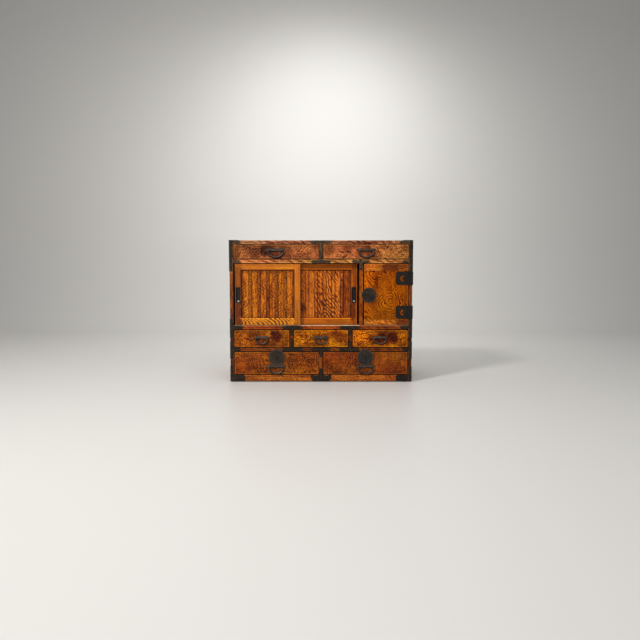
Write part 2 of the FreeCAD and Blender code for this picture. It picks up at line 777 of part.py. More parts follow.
def handle_plate(body, tag, cx, cz, hl, ex, rise):
    tail = hl - ex
    right = [(q(0), rise), (q(4), rise * 0.92), (q(8), q(4.6)),
             (ex - 9, q(4.8)), (ex - 6, q(6.4)), (ex, q(7.4)),
             (ex + tail * 0.3, q(6.2)), (ex + tail * 0.55, q(6.0)),
             (ex + tail * 0.8, q(4.4)), (hl, q(0.9))]
    pts = [(cx + a, cz + b2) for a, b2 in right]
    pts += [(cx + a, cz - b2 * 0.86) for a, b2 in right[::-1]]
    pts += [(cx - a, cz - b2 * 0.86) for a, b2 in right[1:]]
    pts += [(cx - a, cz + b2) for a, b2 in right[:0:-1]]
    pad(body, tag, "XZ", y_drawer - plate, y_drawer, [pts])
    pocket(body, tag + "_holes", "XZ", y_drawer - plate, y_drawer,
           rounds=[(cx - ex, cz, shank_hole), (cx + ex, cz, shank_hole)])


def handle_post(name, x, cz):
    """Post with a ball head, a bore along X for the bail's end and a tail."""
    y0 = y_drawer - plate
    neck = cyl(name + "_neck", x, y_axis, cz, eye_r - 0.6, y0 - y_axis, "Y")
    ball = doc.addObject("Part::Sphere", name + "_ball")
    bind(ball, "Radius", eye_r)
    bind(ball, "Placement.Base.x", x)
    bind(ball, "Placement.Base.y", y_axis)
    bind(ball, "Placement.Base.z", cz)
    foot = doc.addObject("Part::Cone", name + "_foot")
    foot.Placement = FreeCAD.Placement(
        V3(0, 0, 0), FreeCAD.Rotation(V3(1, 0, 0), -90))
    bind(foot, "Radius1", eye_r - 0.6)
    bind(foot, "Radius2", eye_r + 1.0)
    bind(foot, "Height", 2.0)
    bind(foot, "Placement.Base.x", x)
    bind(foot, "Placement.Base.y", y0 - 2.0)
    bind(foot, "Placement.Base.z", cz)
    tail = cyl(name + "_tail", x, y0, cz, shank_r, y_in + 2.0 - y0, "Y")
    solid = fuse(name + "_solid", neck, ball, foot, tail)
    bore = cyl(name + "_bore", x - eye_r - 3, y_axis, cz, eye_bore,
               eye_r * 2 + 6, "X")
    return cut(name, solid, bore)


def clench(name, x, cz):
    """Washer under the clenched tail, on the drawer front's inner face."""
    disc = cyl(name + "_disc", x, y_in, cz, 7.5, 1.2, "Y")
    hole = cyl(name + "_hole", x, y_in - 1, cz, shank_hole, 3.2, "Y")
    return cut(name, disc, hole)


def bail_path(cx, cz, x_start, hw, drop):
    """Centre line of a bail: out of one post, down, round and up to the
    other; x_start is where the rod leaves the post."""
    x_out = x_start + 0.5             # where the turn begins
    corner = hw - x_out               # turn from the end into the side
    side = 0.43 * hw                  # radius of the lower corners
    top = 0.27 * drop                 # depth where the side begins to turn
    # bottom arc: tangent to both lower corner arcs, lowest point at drop
    dx = hw - side
    k = drop - side - top
    rise = (dx * dx - k * k) / (2 * k)
    big = side + math.hypot(dx, rise)
    ang = math.atan2(dx, rise)
    jx, jz = big * math.sin(ang), -top + rise - big * math.cos(ang)
    half_ang = (math.pi / 2 - ang) / 2
    mid = (math.cos(half_ang), -math.sin(half_ang))
    c45 = corner * math.sqrt(0.5)

    def pt(x, z):
        return V3(cx + x, y_axis.v, cz + z)

    def seg(a0, b0, a1, b1):
        return Part.LineSegment(pt(a0, b0), pt(a1, b1)).toShape()

    def arc(a0, b0, am, bm, a1, b1):
        return Part.Arc(pt(a0, b0), pt(am, bm), pt(a1, b1)).toShape()

    edges = [seg(-x_start, 0, -x_out, 0),
             arc(-x_out, 0, -x_out - c45, -corner + c45, -hw, -corner)]
    if top > corner + 0.01:
        edges.append(seg(-hw, -corner, -hw, -top))
    edges += [arc(-hw, -top, -dx - side * mid[0], -top + side * mid[1],
                  -jx, jz),
              arc(-jx, jz, 0, -drop, jx, jz),
              arc(jx, jz, dx + side * mid[0], -top + side * mid[1],
                  hw, -top)]
    if top > corner + 0.01:
        edges.append(seg(hw, -top, hw, -corner))
    edges += [arc(hw, -corner, x_out + c45, -corner + c45, x_out, 0),
              seg(x_out, 0, x_start, 0)]
    return edges


def bail(name, cx, cz, ex, hw, drop, rod_r):
    """Round rod bent into a bail, thinner where its ends sit in the posts."""
    cx, cz = q(cx).v, q(cz).v
    ex, hw, drop = ex.v, hw.v, drop.v
    x_start = ex + eye_r.v + 0.3
    if hw - x_start - 0.5 < rod_r.v + 0.3:
        raise RuntimeError("bail %s turns too tightly" % name)
    wire = Part.Wire(bail_path(cx, cz, x_start, hw, drop))
    start = V3(cx - x_start, y_axis.v, cz)
    ring = Part.Wire([Part.makeCircle(rod_r.v, start, V3(1, 0, 0))])
    rod = wire.makePipeShell([ring], True, True)
    length = 2 * eye_r.v + 1.6
    for x_lo in (cx - x_start - 0.8, cx + x_start + 0.8 - length):
        rod = rod.fuse(Part.makeCylinder(end_r.v, length,
                                         V3(x_lo, y_axis.v, cz),
                                         V3(1, 0, 0)))
    if len(rod.Solids) != 1:
        raise RuntimeError("bail %s is not one solid" % name)
    f = doc.addObject("Part::Feature", name)
    f.Shape = rod
    f.Placement = FreeCAD.Placement()
    return f


def handle(tag, cx, cz, size, lock):
    hl, ex, hw, drop, rod = size
    b = new_body(tag + "_plate")
    handle_plate(b, tag + "_plate_pad", cx, cz, hl, ex, crown)
    if lock is not None:              # upper edge cut round the lock plate
        pocket(b, tag + "_plate_bay", "XZ", y_drawer - plate, y_drawer,
               rounds=[(lock, dlock_z, dlock_r + bay_gap)])
    items = [b]
    for i, x in enumerate((cx - ex, cx + ex)):
        items.append(handle_post("%s_post_%d" % (tag, i + 1), x, cz))
        items.append(clench("%s_washer_%d" % (tag, i + 1), x, cz))
    node(tag + "_handle_mount", group(tag + "_handle_mount", items))
    node(tag + "_handle_bail",
         bail(tag + "_bail_rod", cx, cz, ex, hw, drop, rod))


BIG = (big_half, big_eye, big_loop, big_drop, big_rod)
SMALL = (small_half, small_eye, small_loop, small_drop, small_rod)

# ---------------------------------------------------------------------------
# drawers
# ---------------------------------------------------------------------------


def drawer(tag, x0, x1, z0, z1, cx, cz, size, lock=None):
    """x0..x1 and z0..z1 is the opening in the case."""
    a0, a1 = x0 + gap, x1 - gap
    b0, b1 = z0 + gap, z1 - gap
    b = new_body(tag + "_drawer_front")
    pad(b, tag + "_front_pad", "XZ", y_drawer, y_in, [rect(a0, a1, b0, b1)])
    ex = size[1]
    pocket(b, tag + "_post_holes", "XZ", y_drawer, y_in,
           rounds=[(cx - ex, cz, shank_hole), (cx + ex, cz, shank_hole)])
    if lock is not None:
        pocket(b, tag + "_lock_mortise", "XZ", y_in - case_deep - 0.3, y_in,
               [rect(lock - case_half - 0.3, lock + case_half + 0.3,
                     b1 - 56, b1)])
        pocket(b, tag + "_key_way", "XZ", y_drawer,
               y_in - case_deep - 0.3,
               [rect(lock - 4, lock + 4, dlock_z - 11, dlock_z + 5)])
    round_front(b, tag + "_front_round", a0.v, a1.v, b0.v, b1.v, y_drawer.v,
                front_round)
    node(tag + "_drawer_front", b)
    z_low = z0 + 0.5
    z_top = z1 - 8
    items = [
        block(tag + "_left", a0, a0 + box_side, y_in, box_end, z_low, z_top),
        block(tag + "_right", a1 - box_side, a1, y_in, box_end, z_low, z_top),
        block(tag + "_back", a0 + box_side, a1 - box_side,
              box_end - box_side, box_end, z_low + box_floor, z_top - 6),
        block(tag + "_floor", a0 + box_side, a1 - box_side, y_in, box_end,
              z_low, z_low + box_floor)]
    node(tag + "_drawer_box", group(tag + "_drawer_box", items))
    handle(tag, cx, cz, size, lock)


drawer("top_left", -inner, -div_half, up_over, top_under,
       -wide_handle_x, row_one_axis, BIG)
drawer("top_right", div_half, inner, up_over, top_under,
       wide_handle_x, row_one_axis, BIG)
drawer("middle_left", -inner, -div_three - div_half, low_over, mid_under,
       -side_handle_x, row_three_axis, SMALL)
drawer("middle_centre", -div_three + div_half, div_three - div_half,
       low_over, mid_under, q(0), row_three_axis, SMALL)
drawer("middle_right", div_three + div_half, inner, low_over, mid_under,
       side_handle_x, row_three_axis, SMALL)
drawer("bottom_left", -inner, -div_half, base_high, low_under,
       -wide_handle_x, row_four_axis, BIG, lock=-dlock_x)
drawer("bottom_right", div_half, inner, base_high, low_under,
       wide_handle_x, row_four_axis, BIG, lock=dlock_x)


# ---------------------------------------------------------------------------
# locks: round plate with a keyhole, lock case let in behind it, and a bolt
# ---------------------------------------------------------------------------


def lock_disc(tag, cx, cz, r, y_face):
    """Round plate with a raised rim, a domed middle and a keyhole."""
    b = new_body(tag + "_disc")
    sk = circles(b, tag + "_disc_sketch", "XZ", -y_face, [(cx, cz, r)])
    p = b.newObject("PartDesign::Pad", tag + "_disc_pad")
    p.Profile = sk
    bind(p, "Length", lock_plate)
    doc.recompute()
    sk = circles(b, tag + "_rim_sketch", "XZ", -(y_face - lock_plate),
                 [(cx, cz, r - 0.6), (cx, cz, r - 3.2)])
    p = b.newObject("PartDesign::Pad", tag + "_rim_pad")
    p.Profile = sk
    bind(p, "Length", 0.8)
    doc.recompute()
    sk = circles(b, tag + "_boss_sketch", "XZ", -(y_face - lock_plate),
                 [(cx, cz, 13)])
    p = b.newObject("PartDesign::Pad", tag + "_boss_pad")
    p.Profile = sk
    bind(p, "Length", 0.9)
    doc.recompute()
    pocket(b, tag + "_keyhole", "XZ", y_face - lock_plate - 0.9, y_face,
           [[(cx - 1.4, cz - 8), (cx + 1.4, cz - 8), (cx + 1.4, cz - 1.2),
             (cx + 2.8, cz), (cx + 2.8, cz + 2.2), (cx + 1.2, cz + 3.8),
             (cx - 1.2, cz + 3.8), (cx - 2.8, cz + 2.2), (cx - 2.8, cz),
             (cx - 1.4, cz - 1.2)]])
    heads = []
    for k in range(6):
        a = math.radians(30 + 60 * k)
        s = dome(cx.v + (r.v - 9) * math.cos(a), y_face.v - lock_plate.v,
                 cz.v + (r.v - 9) * math.sin(a), FRONT)
        h = doc.addObject("Part::Feature", "%s_nail_%d" % (tag, k + 1))
        h.Shape = s
        heads.append(h)
    return [b] + heads


y_lock1 = y_in                       # rear of the drawer lock cases
y_lock0 = y_in - case_deep
yk0 = yf + 11.3                      # the bolts lie in this layer
yk1 = yk0 + bolt_thick
for tag, cx in (("bottom_left", -dlock_x), ("bottom_right", dlock_x)):
    ztop = low_under - gap
    b = new_body(tag + "_lock_case")
    pad(b, tag + "_lock_case_pad", "XZ", y_lock0, y_lock1,
        [rect(cx - case_half, cx + case_half, ztop - 55.5, ztop - 0.2)])
    pocket(b, tag + "_lock_channel", "XY", ztop - 45, ztop - 0.2,
           [rect(cx - bolt_half - bolt_play, cx + bolt_half + bolt_play,
                 yk0 - bolt_play, yk1 + bolt_play)])
    node(tag + "_lock", group(tag + "_lock", lock_disc(
        tag + "_lock", cx, dlock_z, dlock_r, y_drawer) + [b]))
    node(tag + "_lock_bolt", block(tag + "_lock_bolt", cx - bolt_half,
                                   cx + bolt_half, yk0, yk1, ztop - 40,
                                   ztop - 0.6))

# ---------------------------------------------------------------------------
# sliding doors
# ---------------------------------------------------------------------------
for k, (tag, x0) in enumerate((("left_sliding_door", ldoor_from),
                               ("right_sliding_door", rdoor_from))):
    x1 = x0 + door_wide
    y0 = yf + recess + (door_thick + track_gap) * k
    y1 = y0 + door_thick
    t0 = y0 + (door_thick - tongue) / 2
    t1 = t0 + tongue
    z0 = mid_over + door_play
    z1 = up_under - door_play
    zt0 = mid_over - groove_low + 0.6
    zt1 = up_under + groove_high - 3
    pull_x0 = x0 + pull_in if k == 0 else x1 - pull_in - pull_wide
    pull_x1 = pull_x0 + pull_wide
    items = []
    for name, a0, a1 in (("left_stile", x0, x0 + stile),
                         ("right_stile", x1 - stile, x1)):
        b = new_body("%s_%s" % (tag, name))
        pad(b, "%s_%s_pad" % (tag, name), "XZ", y0, y1,
            [rect(a0, a1, z0, z1)])
        pad(b, "%s_%s_tongues" % (tag, name), "XZ", t0, t1,
            [rect(a0, a1, zt0, zt1)])
        if (name == "left_stile") == (k == 0):
            pocket(b, "%s_%s_pull" % (tag, name), "XZ", y0, y0 + pull_deep
                   + 0.3, [rect(pull_x0 - 0.3, pull_x1 + 0.3,
                                pull_low - 0.3, pull_low + pull_tall + 0.3)])
        items.append(b)
    for name, c0, c1, e0, e1 in (
            ("bottom_rail", z0, z0 + drail_low, zt0, z0 + drail_low),
            ("top_rail", z1 - drail_top, z1, z1 - drail_top, zt1)):
        b = new_body("%s_%s" % (tag, name))
        pad(b, "%s_%s_pad" % (tag, name), "XZ", y0, y1,
            [rect(x0 + stile, x1 - stile, c0, c1)])
        pad(b, "%s_%s_tongue" % (tag, name), "XZ", t0, t1,
            [rect(x0 + stile, x1 - stile, e0, e1)])
        items.append(b)
    node(tag + "_frame", group(tag + "_frame", items))

    p0, p1 = z0 + drail_low, z1 - drail_top
    ys = y0 + slat_back
    n = 6
    w = (door_wide - stile * 2) / n
    slats = []
    for i in range(n):
        a = x0 + stile + w * i
        lo = 0.0 if i == 0 else 0.4
        hi = 0.0 if i == n - 1 else 0.4
        slats.append(block("%s_slat_%d" % (tag, i + 1), a + lo, a + w - hi,
                           ys, ys + slat_thick, p0, p1))
    for i in range(1, n):
        a = x0 + stile + w * i
        b = new_body("%s_batten_%d" % (tag, i))
        bw = batten_wide / 2
        pad(b, "%s_batten_%d_pad" % (tag, i), "XY", p0, p1,
            [[(a - bw, ys), (a - bw, ys - batten_thick + 1.4),
              (a - bw + 1.6, ys - batten_thick),
              (a + bw - 1.6, ys - batten_thick),
              (a + bw, ys - batten_thick + 1.4), (a + bw, ys)]])
        slats.append(b)
    node(tag + "_panel", group(tag + "_panel", slats))

    # recessed pull: a shallow iron pan with a thin flange on the stile
    b = new_body(tag + "_pull")
    pad(b, tag + "_pull_pan", "XZ", y0, y0 + pull_deep,
        [rect(pull_x0, pull_x1, pull_low, pull_low + pull_tall)])
    pad(b, tag + "_pull_flange", "XZ", y0 - 0.7, y0,
        [rect(pull_x0 - 1.6, pull_x1 + 1.6, pull_low - 1.6,
              pull_low + pull_tall + 1.6)])
    pocket(b, tag + "_pull_hollow", "XZ", y0 - 0.7,
           y0 + pull_deep - pull_wall,
           [rect(pull_x0 + pull_wall, pull_x1 - pull_wall,
                 pull_low + pull_wall, pull_low + pull_tall - pull_wall)])
    # the lower end is scooped, so that a finger slides out of it
    yw = y0 + pull_deep - pull_wall
    zw = pull_low + pull_wall
    r = pull_deep - pull_wall
    scoop = [(yw, zw), (y0, zw)]
    for deg in (28, 50, 70, 90):
        t = math.radians(deg)
        scoop.append((y0 + r * math.sin(t), zw + r * (1 - math.cos(t))))
    pad(b, tag + "_pull_scoop", "YZ", pull_x0 + pull_wall,
        pull_x1 - pull_wall, [scoop])
    node(tag + "_pull", b)

# ---------------------------------------------------------------------------
# hinged door: panel between two clamps
# ---------------------------------------------------------------------------
yd = yf - flap_proud
yd1 = yd + flap_thick
zc0 = flap_low + clamp_low
zc1 = flap_high - clamp_top
b = new_body("hinged_door_panel")
pad(b, "hinged_door_panel_pad", "XZ", yd, yd1,
    [rect(flap_from, flap_to, zc0, zc1)])
pad(b, "hinged_door_panel_tongues", "XZ", yd + 6, yd1 - 6,
    [rect(flap_from, flap_to, zc0 - clamp_tongue, zc1 + clamp_tongue)])
zl = flock_z
pocket(b, "hinged_door_lock_mortise", "YZ", flap_from,
       flap_from + case_half * 2 + 4.3,
       [rect(yd1 - case_deep - 0.3, yd1, zl - case_half - 0.3,
             zl + case_half + 0.3)])
pocket(b, "hinged_door_key_way", "XZ", yd, yd1 - case_deep - 0.3,
       [rect(flock_x - 4, flock_x + 4, zl - 11, zl + 5)])
node("hinged_door_panel", b)

clamps = []
for name, c0, c1 in (("top", zc1, flap_high), ("bottom", flap_low, zc0)):
    b = new_body("hinged_door_clamp_" + name)
    pad(b, "hinged_door_clamp_%s_pad" % name, "XZ", yd, yd1,
        [rect(flap_from, flap_to, c0, c1)])
    g0, g1 = (zc1, zc1 + clamp_tongue) if name == "top" \
        else (zc0 - clamp_tongue, zc0)
    pocket(b, "hinged_door_clamp_%s_groove" % name, "YZ", flap_from, flap_to,
           [rect(yd + 6, yd1 - 6, g0, g1)])
    clamps.append(b)
node("hinged_door_clamps", group("hinged_door_clamps", clamps))

yl1 = yd1
yl0 = yd1 - case_deep
b = new_body("hinged_door_lock_case")
pad(b, "hinged_door_lock_case_pad", "XZ", yl0, yl1,
    [rect(flap_from + 0.2, flap_from + case_half * 2 + 4, zl - case_half,
          zl + case_half)])
pocket(b, "hinged_door_lock_channel", "YZ", flap_from + 0.2, flap_from + 44,
       [rect(yk0 - bolt_play, yk1 + bolt_play, zl - bolt_half - bolt_play,
             zl + bolt_half + bolt_play)])
node("hinged_door_lock", group("hinged_door_lock", lock_disc(
    "hinged_door_lock", flock_x, flock_z, flock_r, yd) + [b]))
node("hinged_door_lock_bolt", block(
    "hinged_door_lock_bolt", flap_from + 0.6, flap_from + 38, yk0, yk1,
    zl - bolt_half, zl + bolt_half))

# ---------------------------------------------------------------------------
# hinges: three knuckles each, the middle one on the door
# ---------------------------------------------------------------------------
y_pin = yf - 0.5 - knuckle           # hinge axis
clear = knuckle + 0.5
door_leaves, case_leaves = [], []
for tag, zc in (("upper_hinge", hinge_up), ("lower_hinge", hinge_down)):
    z0, z1 = zc - hinge_tall / 2, zc + hinge_tall / 2
    k0, k1 = zc - hinge_tall / 6, zc + hinge_tall / 6
    # leaf on the door, with a heart-shaped opening that shows the wood
    x0 = pin_x - hinge_reach
    x1 = pin_x - clear
    b = new_body(tag + "_door_leaf")
    pts = [(x0, z0 + 10), (x0 + 1.2, z0 + 5), (x0 + 4.4, z0 + 1.6),
           (x0 + 9, z0), (x1, z0), (x1, k0), (pin_x, k0), (pin_x, k1),
           (x1, k1), (x1, z1), (x0 + 9, z1), (x0 + 4.4, z1 - 1.6),
           (x0 + 1.2, z1 - 5), (x0, z1 - 10)]
    pad(b, tag + "_door_leaf_pad", "XZ", yd - leaf, yd, [pts])
    cx = x0 + 30
    shape = [(-9.6, 4.2), (-7.0, 8.6), (-3.4, 12.6), (1.0, 15.6),
             (5.2, 16.4), (8.6, 14.4), (10.0, 10.6), (8.8, 6.4), (5.6, 3.2),
             (2.0, 1.2)]
    shape = [(-11, 0)] + shape + [(0.6, 0)] \
        + [(a, -c) for a, c in shape[::-1]]
    pocket(b, tag + "_door_leaf_eye", "XZ", yd - leaf, yd,
           [[(cx + a, zc + c) for a, c in shape]])
    barrel = cyl(tag + "_door_barrel", pin_x, y_pin, k0 + 0.3, knuckle,
                 k1 - k0 - 0.6, "Z")
    bore = cyl(tag + "_door_bore", pin_x, y_pin, k0 - 5, pin_r + pin_play,
               k1 - k0 + 10, "Z")
    low = block(tag + "_door_trim_low", pin_x - 3.9, pin_x + 5, yd - 8,
                yd + 2, k0 - 1, k0 + 0.3)
    high = block(tag + "_door_trim_high", pin_x - 3.9, pin_x + 5, yd - 8,
                 yd + 2, k1 - 0.3, k1 + 1)
    door_leaves.append(cut(tag + "_door_side",
                           fuse(tag + "_door_raw", b, barrel),
                           bore, low, high))
    for i in range(4):
        a = ((8, 8), (8, 57), (52, 8), (52, 57))[i]
        h = doc.addObject("Part::Feature", "%s_door_nail_%d" % (tag, i + 1))
        h.Shape = dome(x0.v + a[0], yd.v - leaf.v, z0.v + a[1], FRONT)
        door_leaves.append(h)
    # leaf on the case, folded round the corner onto the side board
    xo = half + 3
    b = new_body(tag + "_case_leaf")
    pad(b, tag + "_case_leaf_pad", "XZ", yf - leaf, yf,
        [[(pin_x, z0), (xo, z0), (xo, z1), (pin_x, z1), (pin_x, k1),
          (pin_x + clear, k1), (pin_x + clear, k0), (pin_x, k0)]])
    pad(b, tag + "_case_fold_pad", "YZ", half, xo,
        [[(yf - leaf, z0), (yf + fold - 8, z0), (yf + fold, z0 + 8),
          (yf + fold, z1 - 8), (yf + fold - 8, z1), (yf - leaf, z1)]])
    c1 = cyl(tag + "_case_barrel_low", pin_x, y_pin, z0, knuckle, k0 - z0,
             "Z")
    c2 = cyl(tag + "_case_barrel_high", pin_x, y_pin, k1, knuckle, z1 - k1,
             "Z")
    bore = cyl(tag + "_case_bore", pin_x, y_pin, z0 - 5, pin_r + pin_play,
               hinge_tall + 10, "Z")
    case_leaves.append(cut(tag + "_case_side",
                           fuse(tag + "_case_raw", b, c1, c2), bore))
    case_leaves.append(fuse(
        tag + "_pin",
        cyl(tag + "_pin_rod", pin_x, y_pin, z0 - 0.2, pin_r,
            hinge_tall + 0.4, "Z"),
        cyl(tag + "_pin_head", pin_x, y_pin, z1 + 0.1, pin_r + 0.35, 1.2,
            "Z")))
    for i in range(3):
        h = doc.addObject("Part::Feature", "%s_case_nail_%d" % (tag, i + 1))
        h.Shape = dome(xo.v, yf.v + 26, z0.v + 10 + 22.5 * i, (1, 0, 0))
        case_leaves.append(h)
node("hinge_door_leaves", group("hinge_door_leaves", door_leaves))
node("hinge_case_leaves", group("hinge_case_leaves", case_leaves))

# ---------------------------------------------------------------------------
# checks, then one file per node
# ---------------------------------------------------------------------------
doc.recompute()
bad = []
for obj in doc.Objects:
    if "Invalid" in obj.State or "Error" in obj.State:
        bad.append(obj.Name)
for label, obj in NODES.items():
    s = obj.Shape
    if s.isNull() or not s.isValid() or not s.Solids:
        bad.append("shape " + label)
if bad:
    raise RuntimeError("failed: " + ", ".join(bad))
if len(NODES) > 60:
    raise RuntimeError("too many nodes: %d" % len(NODES))
for label, obj in NODES.items():
    obj.Shape.exportStep("parts/%s.step" % label)
print("nodes", len(NODES))
for label, obj in NODES.items():
    bb = obj.Shape.BoundBox
    print("%-30s solids %3d  x %.1f %.1f  y %.1f %.1f  z %.1f %.1f" % (
        label, len(obj.Shape.Solids), bb.XMin, bb.XMax, bb.YMin, bb.YMax,
        bb.ZMin, bb.ZMax))
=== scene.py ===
import math

import bmesh
import bpy
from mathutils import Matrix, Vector


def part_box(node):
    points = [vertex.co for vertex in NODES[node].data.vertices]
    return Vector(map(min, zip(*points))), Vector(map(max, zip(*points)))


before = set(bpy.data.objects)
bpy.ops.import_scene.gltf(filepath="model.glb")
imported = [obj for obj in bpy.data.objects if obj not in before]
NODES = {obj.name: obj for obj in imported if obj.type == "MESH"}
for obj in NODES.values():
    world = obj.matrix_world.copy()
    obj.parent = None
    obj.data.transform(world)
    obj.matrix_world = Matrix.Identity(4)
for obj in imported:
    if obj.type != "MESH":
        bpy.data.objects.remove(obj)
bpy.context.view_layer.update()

scene = bpy.context.scene

# ---------------------------------------------------------------------------
# camera, floor, light
# ---------------------------------------------------------------------------
cam_data = bpy.data.cameras.new("camera")
cam = bpy.data.objects.new("camera", cam_data)
scene.collection.objects.link(cam)
cam.location = (-0.005, -0.212 - 2.851, 0.536)
cam.rotation_euler = (math.radians(90 - 4.49), 0, 0)
cam_data.sensor_fit = "HORIZONTAL"
cam_data.sensor_width = 36.0
cam_data.lens = 32.2
cam_data.dof.use_dof = False
cam_data.clip_start = 0.05
cam_data.clip_end = 60
scene.camera = cam

scene.view_settings.view_transform = "Standard"
scene.view_settings.look = "None"
scene.view_settings.exposure = 0.0
scene.view_settings.gamma = 1.0


def srgb(r, g, b, a=1.0):
    """Colour given in 0-255 display values, as linear."""
    out = []
    for c in (r, g, b):
        c = c / 255.0
        out.append(c / 12.92 if c <= 0.04045 else ((c + 0.055) / 1.055) ** 2.4)
    return (out[0], out[1], out[2], a)


# ---------------------------------------------------------------------------
# node building
# ---------------------------------------------------------------------------
class NB:
    """Short-hand for building a material's nodes."""

    def __init__(self, mat):
        self.mat = mat
        self.nt = mat.node_tree
        self.nt.nodes.clear()

    def new(self, kind, **props):
        n = self.nt.nodes.new(kind)
        for k, v in props.items():
            setattr(n, k, v)
        return n

    def put(self, socket, value):
        if value is None:
            return
        if isinstance(value, bpy.types.NodeSocket):
            self.nt.links.new(value, socket)
        else:
            socket.default_value = value

    def m(self, op, a, b=None, c=None, clamp=False):
        n = self.new("ShaderNodeMath", operation=op, use_clamp=clamp)
        self.put(n.inputs[0], a)
        self.put(n.inputs[1], b)
        self.put(n.inputs[2], c)
        return n.outputs[0]

    def add(self, a, b):
        return self.m("ADD", a, b)

    def sub(self, a, b):
        return self.m("SUBTRACT", a, b)

    def mul(self, a, b):
        return self.m("MULTIPLY", a, b)

    def sstep(self, x, lo, hi):
        """Smooth step from lo to hi; falls if lo is above hi."""
        n = self.new("ShaderNodeMapRange", interpolation_type="SMOOTHSTEP")
        self.put(n.inputs["Value"], x)
        if lo <= hi:
            n.inputs["From Min"].default_value = lo
            n.inputs["From Max"].default_value = hi
            n.inputs["To Min"].default_value = 0.0
            n.inputs["To Max"].default_value = 1.0
        else:
            n.inputs["From Min"].default_value = hi
            n.inputs["From Max"].default_value = lo
            n.inputs["To Min"].default_value = 1.0
            n.inputs["To Max"].default_value = 0.0
        return n.outputs["Result"]

    def remap(self, x, a, b, c, d):
        n = self.new("ShaderNodeMapRange")
        self.put(n.inputs["Value"], x)
        n.inputs["From Min"].default_value = a
        n.inputs["From Max"].default_value = b
        n.inputs["To Min"].default_value = c
        n.inputs["To Max"].default_value = d
        return n.outputs["Result"]

    def sep(self, v):
        n = self.new("ShaderNodeSeparateXYZ")
        self.put(n.inputs[0], v)
        return n.outputs[0], n.outputs[1], n.outputs[2]

    def comb(self, x, y, z):
        n = self.new("ShaderNodeCombineXYZ")
        self.put(n.inputs[0], x)
        self.put(n.inputs[1], y)
        self.put(n.inputs[2], z)
        return n.outputs[0]

    def vadd(self, a, b):
        n = self.new("ShaderNodeVectorMath", operation="ADD")
        self.put(n.inputs[0], a)
        self.put(n.inputs[1], b)
        return n.outputs[0]

    def vmul(self, a, b):
        n = self.new("ShaderNodeVectorMath", operation="MULTIPLY")
        self.put(n.inputs[0], a)
        self.put(n.inputs[1], b)
        return n.outputs[0]

    def noise(self, vec, scale, detail=2.0, rough=0.5, dist=0.0, color=False):
        n = self.new("ShaderNodeTexNoise")
        self.put(n.inputs["Vector"], vec)
        n.inputs["Scale"].default_value = scale
        n.inputs["Detail"].default_value = detail
        n.inputs["Roughness"].default_value = rough
        n.inputs["Distortion"].default_value = dist
        return n.outputs["Color"] if color else n.outputs["Fac"]

    def voronoi(self, vec, scale, feature="F1", smooth=0.5, out="Distance",
                rand=1.0):
        n = self.new("ShaderNodeTexVoronoi", feature=feature)
        self.put(n.inputs["Vector"], vec)
        n.inputs["Scale"].default_value = scale
        n.inputs["Randomness"].default_value = rand
        if feature == "SMOOTH_F1":
            n.inputs["Smoothness"].default_value = smooth
        return n.outputs[out]

    def white(self, value):
        n = self.new("ShaderNodeTexWhiteNoise", noise_dimensions="1D")
        self.put(n.inputs["W"], value)
        return n.outputs["Value"]

    def ramp(self, fac, stops, mode="LINEAR"):
        n = self.new("ShaderNodeValToRGB")
        n.color_ramp.interpolation = mode
        els = n.color_ramp.elements
        while len(els) > 1:
            els.remove(els[-1])
        els[0].position = stops[0][0]
        els[0].color = stops[0][1]
        for pos, col in stops[1:]:
            e = els.new(pos)
            e.color = col
        self.put(n.inputs[0], fac)
        return n.outputs[0]

    def mix(self, fac, a, b, mode="MIX"):
        n = self.new("ShaderNodeMix", data_type="RGBA", blend_type=mode)
        self.put(n.inputs[0], fac)
        self.put(n.inputs[6], a)
        self.put(n.inputs[7], b)
        return n.outputs[2]

    def mixf(self, fac, a, b):
        n = self.new("ShaderNodeMix", data_type="FLOAT")
        self.put(n.inputs[0], fac)
        self.put(n.inputs[2], a)
        self.put(n.inputs[3], b)
        return n.outputs[0]

    def hsv(self, color, h=0.5, s=1.0, v=1.0):
        n = self.new("ShaderNodeHueSaturation")
        self.put(n.inputs["Hue"], h)
        self.put(n.inputs["Saturation"], s)
        self.put(n.inputs["Value"], v)
        self.put(n.inputs["Color"], color)
        return n.outputs[0]

    def bump(self, height, strength, distance, normal=None):
        n = self.new("ShaderNodeBump")
        n.inputs["Strength"].default_value = strength
        n.inputs["Distance"].default_value = distance
        self.put(n.inputs["Height"], height)
        self.put(n.inputs["Normal"], normal)
        return n.outputs[0]

    def finish(self, color, rough, normal=None, metallic=0.0, coat=0.0,
               coat_rough=0.2, specular=0.5):
        b = self.new("ShaderNodeBsdfPrincipled")
        self.put(b.inputs["Base Color"], color)
        self.put(b.inputs["Roughness"], rough)
        self.put(b.inputs["Metallic"], metallic)
        self.put(b.inputs["Normal"], normal)
        b.inputs["Coat Weight"].default_value = coat
        b.inputs["Coat Roughness"].default_value = coat_rough
        b.inputs["Specular IOR Level"].default_value = specular
        out = self.new("ShaderNodeOutputMaterial")
        self.nt.links.new(b.outputs[0], out.inputs[0])
        return b


def material(name):
    mat = bpy.data.materials.new(name)
    mat.use_nodes = True
    return mat, NB(mat)


def give(node, mat):
    obj = NODES[node] if isinstance(node, str) else node
    obj.data.materials.clear()
    obj.data.materials.append(mat)


# ---------------------------------------------------------------------------
# wood
# ---------------------------------------------------------------------------
def grain_frame(k, axis, seed, shift=None):
    """(along, across, deep) coordinates in metres; the seed is not used."""
    tc = k.new("ShaderNodeTexCoord")
    x, y, z = k.sep(tc.outputs["Object"])
    if axis == "X":
        u, v, w = x, z, y
    elif axis == "Z":
        u, v, w = z, x, y
    else:
        u, v, w = y, x, z
    return x, y, z, u, v, w


